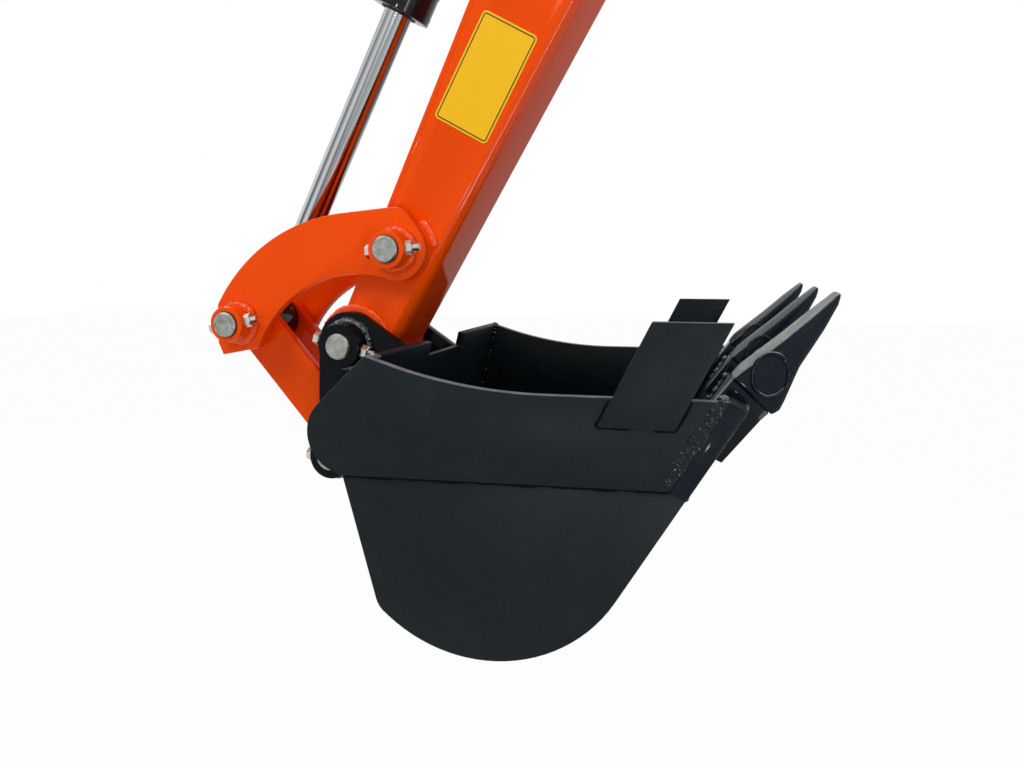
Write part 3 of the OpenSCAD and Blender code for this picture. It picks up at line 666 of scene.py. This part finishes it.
# %% Frames of the parts
SIDEWAYS = np.array((0, 1.0, 0))
ARM_SLOPE = LIP_SLOPE = 59.5
LIP_FOOT = (363.46, -104.28)
ROD_OUT = 373


def part_frame(origin, first):
    """A function of (a, y, b) in mm: origin + a first + y sideways + b up, with up square to first in XZ."""
    first = np.asarray(first, float) / np.linalg.norm(first)
    up = np.array((-first[2], 0, first[0]))

    def place(a, y, b):
        a, y, b = np.broadcast_arrays(*(np.asarray(v, float)[..., None] for v in (a, y, b)))
        return origin + MM * (a * first + y * SIDEWAYS + b * up)
    return place


def slope(degrees):
    """A direction in XZ that rises by degrees from +X."""
    return np.array((math.cos(math.radians(degrees)), 0, math.sin(math.radians(degrees))))


in_bucket = part_frame(BUCKET_PIVOT, slope(0))
on_arm = part_frame(BUCKET_PIVOT, slope(ARM_SLOPE))
on_lip = part_frame(in_bucket(LIP_FOOT[0], 0, LIP_FOOT[1]), slope(LIP_SLOPE))
on_cylinder = part_frame(BASE_PIVOT, KNUCKLE - BASE_PIVOT)
ARM_UP, LIP_UP = slope(ARM_SLOPE + 90), slope(LIP_SLOPE + 90)
SIDES = (("left", -1), ("right", 1))
CYLINDER = np.linalg.norm(KNUCKLE - BASE_PIVOT) / MM
GLAND_FACE = CYLINDER - ROD_OUT
print("lip foot at", on_lip(0, 0, 0).round(4))

# %% [markdown]
# The pins are cut from bar and faced on a lathe, so their ends carry fine rings and a bright chamfer.
# A lathe part is a profile carried round an axis. The rings need to know how far from the axis a point
# is, so each turned piece stores that in an attribute that its material reads.

# %% Turned steel
RING_DEPTH = 0.0003


def mark_turning(piece, place, axis):
    """Stores (distance from the axis, place along it, 0) of every point, in metres, as turning."""
    mesh = piece.data
    points = np.empty(len(mesh.vertices) * 3)
    mesh.vertices.foreach_get("co", points)
    rest = points.reshape(-1, 3) - place
    along = rest @ axis
    away = np.linalg.norm(rest - along[:, None] * axis, axis=1)
    store = mesh.attributes.new("turning", "FLOAT_VECTOR", "POINT")
    store.data.foreach_set("vector", np.stack((away, along, 0 * away), axis=1).ravel())


def turned_steel(name, light, dark, ring_scale, gloss):
    """Bare turned metal: noise over distance plus place along the axis makes rings of tone and gloss."""
    made, shader = plain_material(name)
    tree = made.node_tree
    read = tree.nodes.new("ShaderNodeAttribute")
    read.attribute_name = "turning"
    split = tree.nodes.new("ShaderNodeSeparateXYZ")
    tree.links.new(read.outputs["Vector"], split.inputs[0])
    rings = tree.nodes.new("ShaderNodeTexNoise")
    rings.noise_dimensions = "1D"
    rings.inputs["Scale"].default_value = ring_scale
    rings.inputs["Detail"].default_value = 3.0
    tree.links.new(sums(tree, "ADD", split.outputs["X"], split.outputs["Y"]), rings.inputs["W"])
    place = tree.nodes.new("ShaderNodeTexCoord").outputs["Object"]
    smear = noise(tree, place, 130.0, 4.0, 0.65)
    nicks = noise(tree, place, 520.0, 3.0, 0.7)
    blotch = sums(tree, "MULTIPLY_ADD", sums(tree, "SUBTRACT", smear, 0.5), 1.7, rings.outputs["Fac"])
    tree.links.new(mixed(tree, blotch, dark + (1,), light + (1,)), shader.inputs["Base Color"])
    dull = sums(tree, "MULTIPLY_ADD", sums(tree, "SUBTRACT", nicks, 0.5), 0.5, gloss)
    tree.links.new(dull, shader.inputs["Roughness"])
    roughen(tree, shader, sums(tree, "ADD", rings.outputs["Fac"], nicks), 0.4, RING_DEPTH)
    shader.inputs["Metallic"].default_value = 1.0
    return made


faced_steel = turned_steel("faced_steel", (0.44, 0.44, 0.41), (0.14, 0.14, 0.13), ring_scale=1500.0, gloss=0.40)
grease = paint("pin_grease", (0.012, 0.011, 0.010), deep=(0.006, 0.006, 0.006),
               dust_and_sheen_colour=(0.03, 0.028, 0.024), pooling=1.0, dust=0.3, gloss=0.35, spread=0.2, bump=0.3,
               specular=0.3)
print("turned steel with", len(faced_steel.node_tree.nodes), "nodes")

# %% [markdown]
# A pin could be a plain cylinder, but the light catches its chamfer first, so the profile has one at
# both ends. Old grease is squeezed out where the pin leaves its boss and leaves a dark ring there.

# %% Pins
PIN_R, CHAMFER, PIN_FACETS = 13.5, 1.4, 64
PIN_END, BOSS_FACE, KNUCKLE_INNER = 91, 87, 50
BASE_PIN_END, BRACKET_FACE = 49.5, 43.5
WHOLE_PIN = [(-PIN_END, PIN_END)]


def pin_grid(place, low, high):
    """A pin along Y from low to high mm: flat end, chamfer, long side, chamfer, flat end."""
    neck = PIN_R - CHAMFER
    profile = [(0, low), (neck, low), (PIN_R, low + CHAMFER), (PIN_R, high - CHAMFER), (neck, high), (0, high)]
    return turned(profile, place * (1, 0, 1), SIDEWAYS, PIN_FACETS)


def grease_ring(place, y):
    """A thin ring of old grease round a pin at y mm: an ellipse of 0.5 by 0.4 mm carried round it."""
    angle = np.linspace(0, 2 * np.pi, 9)
    profile = np.stack((PIN_R + 0.3 + 0.5 * np.cos(angle), y + 0.4 * np.sin(angle)), axis=1)
    return turned(profile, place * (1, 0, 1), SIDEWAYS, PIN_FACETS)


for name, body, place, spans, face in (
        ("bucket_pin", "bucket", BUCKET_PIVOT, WHOLE_PIN, BOSS_FACE),
        ("link_pin", "bucket", LINK_PIVOT, WHOLE_PIN, BOSS_FACE),
        ("rocker_pin", "rocker", ROCKER_PIVOT, WHOLE_PIN, BOSS_FACE),
        ("knuckle_pin_ends", "rocker", KNUCKLE, [(-PIN_END, -KNUCKLE_INNER), (KNUCKLE_INNER, PIN_END)], BOSS_FACE),
        ("cylinder_base_pin", "arm", BASE_PIVOT, [(-BASE_PIN_END, BASE_PIN_END)], BRACKET_FACE)):
    piece = surface("turned_" + name, [pin_grid(place, *span) for span in spans], body, faced_steel, sharp=30)
    mark_turning(piece, place * (1, 0, 1), SIDEWAYS)
    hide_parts(name)
    ring = surface("grease_" + name, [grease_ring(place, s * face) for s in (-1, 1)], body, grease)
print("pins turned at", PIN_R * 2, "mm")

# %% [markdown]
# Each pin is kept from turning by a small bolt across its boss: a hex head on one side, a nut and a
# free length of thread on the other. A hex is a lathe part whose radius follows its flats.

# %% Lock bolts
BOLT_Y, FLATS, BOLT_R, THREAD_PITCH = 76, 6.5, 4.0, 1.25
ROCKER_BOSS_R, EAR_BOSS_R = 19.5, 23.5


def lock_bolt(place, y, degrees, boss_r, spare):
    """Grids of an M8 bolt through a boss: head, nut and ridged thread along a slope in XZ.

    The head stands spare mm off the boss; both hexes have a chamfer, and the thread's radius goes
    between its crest and its root every half pitch.
    """
    axis = slope(degrees)
    middle = place * (1, 0, 1) + SIDEWAYS * y * MM
    low, deep = -boss_r - spare, boss_r - 4
    head = [(0, low - 6.3), (5.6, low - 6.3), (FLATS, low - 5.6), (FLATS, low), (BOLT_R, low),
            (BOLT_R, -deep), (0, -deep)]
    nut = [(0, deep), (FLATS, deep), (FLATS, boss_r + 5.9), (5.7, boss_r + 6.7), (0, boss_r + 6.7)]
    turns = np.arange(13)
    foot = boss_r + 5.5
    thread = np.stack((np.where(turns % 2, 3.35, BOLT_R), foot + turns * THREAD_PITCH / 2), axis=1)
    end = thread[-1, 1] + 0.5
    thread = np.concatenate(([(0, foot)], thread, [(3.1, end), (0, end)]))
    return [turned(head, middle, axis, 48, 6), turned(nut, middle, axis, 48, 6), turned(thread, middle, axis, 24)]


for title, body, place, degrees, boss_r, spare in (
        ("rocker", "rocker", ROCKER_PIVOT, 5, ROCKER_BOSS_R, 0), ("knuckle", "rocker", KNUCKLE, 12, ROCKER_BOSS_R, 0),
        ("bucket", "bucket", BUCKET_PIVOT, -14, EAR_BOSS_R, 3.5), ("link", "bucket", LINK_PIVOT, 0, EAR_BOSS_R, 1)):
    for side, s in SIDES:
        bolt = lock_bolt(place, s * BOLT_Y, degrees, boss_r, spare)
        piece = surface("lock_bolt_" + title + "_" + side, bolt, body, zinc, sharp=28)
print("lock bolts on", len(SIDES), "sides")

# %% [markdown]
# Welds hold everything together here, and their ripple is the most lively thing on the machine. A bead
# is a rippled tube carried along the joint and half sunk in both plates. They are painted over, so they
# take the paint of the part they sit on.

# %% Beads round the bosses and collars
BEAD_STEP = 1.1
ROCKER_PLATE, EAR_PLATE, ARM_SIDE = 62.5, 64.5, 45.3


def ring_bead(place, y, radius, size, seed):
    """A closed bead round a boss, radius mm from the pin's axis at y mm."""
    centre = place * (1, 0, 1) + SIDEWAYS * y * MM
    path = circle(centre, SIDEWAYS, radius, int(radius * 2 * math.pi / BEAD_STEP))
    return weld(path, SIDEWAYS, size, seed, True, flat=1.0)


def bead(corners, lean, size, seed, squash=1.0):
    """An open bead along a polyline of points in metres."""
    return weld(spaced(corners, BEAD_STEP * MM), lean, size, seed, flat=squash)


corner_turn = np.radians(np.linspace(2, 54, 40))[:, None]
corner_arc = 36 * (np.cos(corner_turn) * slope(0) + np.sin(corner_turn) * slope(90))
for side, s in SIDES:
    beads = [ring_bead(place, s * ROCKER_PLATE, 20, 5.4, seed + s)
             for place, seed in ((ROCKER_PIVOT, 1), (KNUCKLE, 4))]
    surface("rocker_boss_welds_" + side, beads, "rocker", orange_weld)
    beads = [ring_bead(place, s * EAR_PLATE, 24, size, seed + s)
             for place, size, seed in ((BUCKET_PIVOT, 5.2, 7), (LINK_PIVOT, 5.0, 10))]
    surface("ear_boss_welds_" + side, beads, "bucket", black_weld)
    corner = ROCKER_PIVOT * (1, 0, 1) + MM * (corner_arc + s * 44.7 * SIDEWAYS)
    beads = [ring_bead(BUCKET_PIVOT, s * ARM_SIDE, 38.5, 3.8, 13 + s),
             ring_bead(np.zeros(3), s * ARM_SIDE, 44.5, 4.2, 19 + s),
             weld(spaced(corner, BEAD_STEP * MM), s * SIDEWAYS, 3.3, 16 + s, pitch=9.0, flat=1.6)]
    surface("arm_collar_welds_" + side, beads, "arm", orange_weld)
print("boss and collar beads on both sides")

# %% [markdown]
# The bucket is a folded wrapper between two sides, with ears on its back. Beads run inside along the
# wrapper, with a blob where they start, down the ears and round the side cutters. The seam between the
# upper side plate and the sheet below it is only a thin dark line, so it wanders slightly and, like the
# cutters' beads, has a near-black paint instead of a shine: a painted shadow under the plate's edge.

# %% Beads on the bucket
KNEE, FLOOR_MIDDLE, FLOOR_R, WALL = (56, -104), (187, -128), 140, 8
LIP_IN_LOW = (350.54, -96.66)
SEAM_Y, INNER_Y, CUTTER_Y, EAR_FACES = 195.2, 189.6, 200.6, (50.5, 63.5)


def bucket_line(points, y):
    """Points (x, z) of the bucket's side view put at y mm."""
    points = np.asarray(points, float)
    return in_bucket(points[:, 0], y, points[:, 1])


floor_turn = np.radians(np.linspace(229, 329, 40))
floor_arc = np.stack((np.cos(floor_turn), np.sin(floor_turn)), axis=1) * (FLOOR_R - WALL) + FLOOR_MIDDLE
inner_line = np.concatenate(([(92, 3), (64.3, -104)], floor_arc, [(355, -99)]))
ear_line = [(79, -12), (55.5, -104), (67, -148)]
seam_ends = [(KNEE[0] + 3, KNEE[1] - 1), (LIP_IN_LOW[0], LIP_IN_LOW[1] - 1)]
for side, s in SIDES:
    out = s * SIDEWAYS
    seam_path = spaced(bucket_line(seam_ends, s * SEAM_Y), BEAD_STEP * MM)
    run = np.linspace(0, 1, len(seam_path))[:, None]
    seam_path = seam_path + 0.8 * MM * np.sin(41 * run) * np.sin(13 * run) * slope(90)
    seam = weld(seam_path, out, 2.4, 20 + s, flat=0.9)
    inside = bead(bucket_line(inner_line, s * INNER_Y), -out, 3.2, 23 + s)
    ears = [bead(bucket_line(ear_line, s * y), (-1, 0, 0), 3.6, 26 + s) for y in EAR_FACES]
    blob = bead(bucket_line([(90.5, 7.5), (88.5, -2), (86, -13)], s * 189), -out, 4.6, 35 + s, 1.2)
    surface("bucket_welds_" + side, [inside, blob] + ears, "bucket", black_weld)
    # The seam's and the cutters' beads take the near-black paint, a painted shadow under the plate's edge.
    surface("side_seam_" + side, seam, "bucket", painted_seam_shadow)
    cutter = bead(bucket_line([(302, -22.5), (291, -45), (318, -45.3)], s * CUTTER_Y), out, 2.7, 29 + s)
    cutter_end = bead(bucket_line([(336, -45.3), (353, -45), (365, -21)], s * CUTTER_Y), out, 2.7, 32 + s)
    surface("side_cutter_welds_" + side, [cutter, cutter_end], "bucket", painted_seam_shadow)
print("bucket beads on both sides")

# %% [markdown]
# The lip is the thick wearing edge, and it is welded on by hand: a broad lumpy band on each side, beads
# in front and behind, and a frame of beads round each adapter. A rippled tube would look too neat for
# the band, so it is a sheet with a random height.

# %% Rough welds at the lip
TEETH = (("left", -148), ("middle", 0), ("right", 148))
BAND_COLUMNS, BAND_STEP, SUNK = 15, 0.8, 1.4


def rough_band(path, way, half, height, out, seed):
    """A broad hand-laid weld: a sheet across path whose height is a cosine dome times a random field.

    The field is white noise smoothed along and across by a short raised cosine, so it gives small lumps;
    the sheet's half width wanders by the same field's mean along the path, both ends fade out, and two
    more columns under the plate's face close it.
    """
    rng = np.random.default_rng(seed)
    kernel = np.hanning(6) / np.hanning(6).sum()
    lumps = rng.normal(size=(len(path), BAND_COLUMNS))
    for axis in (0, 1):
        lumps = np.apply_along_axis(np.convolve, axis, lumps, kernel, "same")
    lumps /= lumps.std()
    across_t = np.linspace(-1, 1, BAND_COLUMNS)
    dome = np.cos(across_t * np.pi / 2) ** 0.6
    fade = np.sin(np.linspace(0, np.pi, len(path))) ** 0.3
    wide = half * (1 + 0.12 * lumps.mean(1) / lumps.mean(1).std()) * fade
    rise = (height * (1 + 0.5 * lumps) * dome - 0.4) * fade[:, None]
    across_t = np.concatenate((across_t, (0.8, -0.8)))
    rise = np.concatenate((rise, np.stack((-SUNK * fade, -SUNK * fade), axis=1)), axis=1)
    return path[:, None] + MM * ((wide[:, None] * across_t)[..., None] * way + rise[..., None] * out)


for side, s in SIDES:
    out = s * SIDEWAYS
    band_path = spaced(on_lip([2, 86], s * 200, [20, 20]), BAND_STEP * MM)
    band = rough_band(band_path, LIP_UP, 6.5, 1.3, out, 40 + s)
    surface("lip_side_welds_" + side, band, "bucket", lip_weld)
    cap = bead(on_lip([86.3, 86.3], [s * 191, s * 200], [19, 19]), slope(LIP_SLOPE), 3.6, 43 + s, 1.4)
    surface("lip_end_weld_" + side, cap, "bucket", black_weld)
front = bead(on_lip([-1, -1], [-189, 189], [0.3, 0.3]), -LIP_UP, 3.0, 46)
inner = bead(on_lip([-1.5, -1.5], [-188, 188], [9.5, 9.5]), LIP_UP, 4.2, 47)
surface("lip_floor_welds", [front, inner], "bucket", black_weld)
for title, y in TEETH:
    wide = np.array((-22, -22, 22, 22)) + y
    under = bead(on_lip([90, 36, 36, 90], wide, [-0.6] * 4), -LIP_UP, 3.6, 350 + y)
    over = bead(on_lip([87, 54, 54, 87], wide, [15.6] * 4), LIP_UP, 3.4, 400 + y)
    surface("adapter_welds_" + title, [under, over], "bucket", black_weld)
print("lip and adapter welds")

# %% [markdown]
# On the arm, beads hold the cylinder's brackets and bosses; on the link they go round its tube and its
# plates' eyes. The cylinder's port welds lie on a barrel, so their path is where two tubes cross.

# %% Beads on the arm, link and cylinder
OUTER_LOW, OUTER_RISE = 26.3, 74.7 / 820
BRACKET_FOOT, BRACKET_FACES = np.array([668.0, 787.0]), (31, 44)
LINK_OUT, LINK_IN, PORT_R = 36.3, 23.7, 11.2
for side, s in SIDES:
    foot = OUTER_LOW + OUTER_RISE * BRACKET_FOOT + 0.5
    brackets = [bead(on_arm(BRACKET_FOOT, s * y, foot), ARM_UP, 4.2, 63 + s) for y in BRACKET_FACES]
    horn = ring_bead(on_arm(970, 0, 42), s * ARM_SIDE, 28.5, 3.6, 66 + s)
    surface("arm_welds_" + side, [horn] + brackets, "arm", orange_weld)
    link = [ring_bead(LINK_PIVOT, s * LINK_OUT, 21, 3.4, 69 + s), ring_bead(KNUCKLE, s * LINK_OUT, 23, 3.4, 72 + s),
            ring_bead(LINK_PIVOT, s * LINK_IN, 21, 3.2, 75 + s)]
    surface("link_welds_" + side, link, "link", orange_weld)
neck_path = circle(on_cylinder(CYLINDER - 23.4, 0, 0), ROD_WAY, 15.6, 90)
neck = weld(neck_path, ROD_WAY, 3.6, 78, True, flat=1.0)
surface("rod_eye_weld", neck, "rod", gloss_black)
turn = np.linspace(0, 2 * np.pi, 64, endpoint=False)
port_a, port_b = PORT_R * np.cos(turn), PORT_R * np.sin(turn)
ports = [weld(on_cylinder(x + port_a, np.sqrt(r * r - port_b ** 2), port_b), SIDEWAYS, 2.2, 80 + r, True, flat=1.0)
         for x, r in ((62.5, 30), (GLAND_FACE - 20, 33))]
surface("port_welds", ports, "barrel", gloss_black)
print("arm, link and cylinder beads")

# %% [markdown]
# The cylinder's gland ends in a rubber wiper round the rod and a thin turned step. Both are lathe parts
# along the cylinder's own line.

# %% Gland wiper
wiper_rubber = paint("wiper_rubber", (0.010, 0.010, 0.010), deep=(0.006, 0.006, 0.006),
                     dust_and_sheen_colour=(0.04, 0.04, 0.04), pooling=0.6, dust=0.3, gloss=0.55, spread=0.15, bump=0.3,
                     specular=0.25)
gland_face = on_cylinder(GLAND_FACE, 0, 0)
wiper_profile = [(15.6, -0.6), (15.6, 1.4), (16.4, 2.0), (18.2, 1.6), (19.4, 0.6), (19.8, -0.6), (15.6, -0.6)]
wiper = turned(wiper_profile, gland_face, ROD_WAY, 64)
surface("gland_wiper", wiper, "barrel", wiper_rubber, sharp=40)
step_profile = [(32.6, -33.3), (33.7, -32.7), (33.7, -29.3), (32.6, -28.7), (32.6, -33.3)]
collar_profile = [(32.6, -7.9), (33.5, -7.4), (33.5, -5.9), (32.6, -5.4), (32.6, -7.9)]
steps = [turned(profile, gland_face, ROD_WAY, 72) for profile in (step_profile, collar_profile)]
surface("gland_steps", steps, "barrel", gloss_black, sharp=40)
print("gland wiper and steps")

# %% [markdown]
# The arm's near side carries a plain yellow plate with a dark border. The border could be a texture on an
# unwrapped sheet, but a value stored at each point, its inset from the edge, lets the material draw it
# at an even width round the corners.

# %% Yellow plate's paint
BORDER = (2.0, 3.2)
plate_paint, shader = plain_material("yellow_plate")
tree = plate_paint.node_tree
read = tree.nodes.new("ShaderNodeAttribute")
read.attribute_name = "inset"
border = sums(tree, "MULTIPLY", sums(tree, "GREATER_THAN", read.outputs["Fac"], BORDER[0]),
              sums(tree, "LESS_THAN", read.outputs["Fac"], BORDER[1]))
place = tree.nodes.new("ShaderNodeTexCoord").outputs["Object"]
fade = noise(tree, place, 45.0, 4.0)
yellow = mixed(tree, fade, (0.98, 0.56, 0.006, 1), (0.92, 0.48, 0.005, 1))
tree.links.new(mixed(tree, border, yellow, (0.012, 0.010, 0.008, 1)), shader.inputs["Base Color"])
tree.links.new(sums(tree, "MULTIPLY_ADD", fade, 0.15, 0.3), shader.inputs["Roughness"])
shader.inputs["Specular IOR Level"].default_value = 0.25
print("border from", BORDER[0], "to", BORDER[1], "mm")

# %% [markdown]
# The plate is a thin sheet with rounded corners. A bevelled cube would look alike, but rings of a rounded
# rectangle, each inset a little more than the last, bring the inset with them for every point.

# %% Yellow plate
PLATE_HALF_A, PLATE_HALF_B, PLATE_ROUND, PLATE_Y = 31.5, 56.5, 5.0, -45


def rounded_ring(half_a, half_b, radius, steps=9):
    """Points of a rounded rectangle: each corner is a quarter circle about its own centre."""
    quarter = np.linspace(0, np.pi / 2, steps)
    angle = (np.arange(4)[:, None] * np.pi / 2 + quarter).ravel()
    sign_a = np.repeat((1, -1, -1, 1), steps)
    sign_b = np.repeat((1, 1, -1, -1), steps)
    return sign_a * (half_a - radius) + radius * np.cos(angle), sign_b * (half_b - radius) + radius * np.sin(angle)


insets = np.array((PLATE_HALF_A, 0.0, 0.0, 0.9, *BORDER, 4.0, 14.0, PLATE_HALF_A))
heights = np.array((0.05, 0.05, 0.45, 0.5, 0.5, 0.5, 0.5, 0.5, 0.5))
corner_points = np.array(((149.3, 330), (201.8, 302.1), (150.7, 205), (94.5, 234.7)), float)
plate_middle = corner_points.mean(0)
long_way = (corner_points[0] + corner_points[1] - corner_points[2] - corner_points[3]) / 2
long_way /= np.linalg.norm(long_way)
cross_way = np.array((long_way[1], -long_way[0]))
rings = [rounded_ring(PLATE_HALF_A - d, PLATE_HALF_B - d, max(PLATE_ROUND - d, 0.0)) for d in insets]
grid = np.stack([in_bucket(plate_middle[0] + a * cross_way[0] + b * long_way[0], PLATE_Y - h,
                           plate_middle[1] + a * cross_way[1] + b * long_way[1])
                 for (a, b), h in zip(rings, heights)])
plate = surface("yellow_plate", grid, "arm", plate_paint)
points = np.empty(len(plate.data.vertices) * 3)
plate.data.vertices.foreach_get("co", points)
rest = (points.reshape(-1, 3) - BUCKET_PIVOT)[:, (0, 2)] / MM - plate_middle
rest = np.stack((rest @ cross_way, rest @ long_way), axis=1)[:, None]
nearest = np.stack([np.abs(rest - np.stack(ring, axis=1)).sum(-1).min(-1) for ring in rings[1:]])
store = plate.data.attributes.new("inset", "FLOAT", "POINT")
store.data.foreach_set("value", insets[1:][nearest.argmin(0)])
print("yellow plate", len(points) // 3, "points")

# %% [markdown]
# Teeth are castings: no sharp edge anywhere, a crowned top, a heel that swells over the adapter and a
# raised ring on each cheek. Each one is a row of rounded sections between a top line and a bottom line.

# %% Tooth surfaces
HEEL, WAIST, TIP = 24.0, 22.8, 19.6
CHEEK, CHEEK_LONG, CHEEK_SHORT = (119, -1), 17.6, 14.0


def tooth_section(steps=5):
    """One turn round a unit section: each point's side, out and up, and the cosine and sine of its corner.

    The turn starts at the near cheek's top: a quarter circle at each corner, with extra points along the
    top so that it can carry a crown.
    """
    quarter = np.linspace(0, np.pi / 2, steps)
    turn = np.concatenate((quarter, quarter + np.pi / 2, quarter + np.pi, quarter + 1.5 * np.pi))
    out, up = np.repeat((1, -1, -1, 1), steps), np.repeat((1, 1, -1, -1), steps)
    along = np.linspace(1, -1, 9)[1:-1]
    flat, full = 0 * along, 0 * along + 1
    pairs = ((out, along), (up, full), (np.cos(turn), flat), (np.sin(turn), full))
    return [np.concatenate((corners[:steps], top, corners[steps:])) for corners, top in pairs]


def along_line(line, t):
    """Points at shares t of a polyline's length."""
    line = np.asarray(line, float)
    far = np.concatenate(([0], np.cumsum(np.linalg.norm(np.diff(line, axis=0), axis=1))))
    return np.stack([np.interp(t * far[-1], far, line[:, i]) for i in (0, 1)], axis=1)


def tooth_grid(y):
    """Sections from heel to tip between a top and a bottom line, each a rectangle with round corners.

    A point is mid + (half height - r) up + r sin a along the section's own upright, and (half width - r)
    out + r cos a sideways; the top is lifted by a shallow crown, and both ends are drawn in and closed.
    """
    t = np.concatenate((np.linspace(0, 0.03, 6), np.linspace(0.045, 0.95, 44), np.linspace(0.965, 1, 7)))
    bottom = along_line(((92.3, -19.5), (99, -22.5), (107, -21.5), (136, -16.2), (170, -15.6),
                         (192, -13.6), (199.5, -11.0)), t)
    top = along_line(((100.2, 21.5), (112, 17.8), (150, 5.0), (180, -4.0), (200.0, -9.2)), t)
    close = np.sqrt(np.clip(1 - (1 - np.clip(np.minimum(t / 0.03, (1 - t) / 0.035), 0, 1)) ** 2, 0, 1))
    draw = 1.8 * (1 - close)
    width = np.interp(t, (0, 0.04, 0.16, 0.3, 1), (HEEL, HEEL, HEEL, WAIST, TIP)) - draw
    middle, gap = (bottom + top) / 2, top - bottom
    half = np.linalg.norm(gap, axis=1) / 2
    upright = gap / (2 * half)[:, None]
    half = half - 0.45 * draw
    corner = np.minimum(2.0, 0.8 * half)[:, None]
    out, up, cos_a, sin_a = tooth_section()
    crown = np.interp(t, (0, 0.1, 0.8, 1), (2.0, 4.0, 3.4, 1.4))[:, None] * (1 - np.abs(out) ** 1.4) * (up > 0)
    rise = (half[:, None] - corner) * up + corner * sin_a + crown
    side = (width[:, None] - corner) * out + corner * cos_a
    rows = on_lip(middle[:, :1] + rise * upright[:, :1], y + side, middle[:, 1:] + rise * upright[:, 1:])
    ends = [np.broadcast_to(rows[i].mean(0), rows[i].shape) for i in (0, -1)]
    return np.concatenate((ends[0][None], rows, ends[1][None]))


def cheek_ring(y, s):
    """A raised oval ring on the cheek, y + s half width across: a tilted ellipse about the cheek's middle."""
    turn = np.linspace(0, 2 * np.pi, 90, endpoint=False)
    a = CHEEK[0] + CHEEK_LONG * np.cos(turn) * 0.92 - CHEEK_SHORT * np.sin(turn) * 0.39
    b = CHEEK[1] + CHEEK_LONG * np.cos(turn) * 0.39 + CHEEK_SHORT * np.sin(turn) * 0.92
    width = np.interp(a, (92, 110, 126, 200), (HEEL, HEEL, WAIST, TIP))
    path = on_lip(a, y + s * (width + 0.3), b)
    return weld(path, SIDEWAYS, 1.7, 90, True, 30.0, 1.0)


print("a tooth section has", len(tooth_section()[0]), "points")

# %% [markdown]
# The three teeth are one casting at three places. They could share a mesh, but each is a named piece that
# stands for its own solid, and the near one's paint has a much paler top, partly dust and partly painted
# sheen, a painted reflection of the bright sky.

# %% Cast teeth
for title, y in TEETH:
    # Painted sheen: the near tooth's pale top also stands for the sky reflected in it.
    casting = dust_and_sheen_cast if title == "left" else cast
    piece = surface("cast_tooth_" + title, tooth_grid(y), "bucket", casting, sharp=50)
    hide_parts("tooth_" + title)
    rings = [cheek_ring(y, s) for s in (-1, 1)]
    surface("tooth_rings_" + title, rings, "bucket", casting)
print("cast teeth:", len(TEETH))
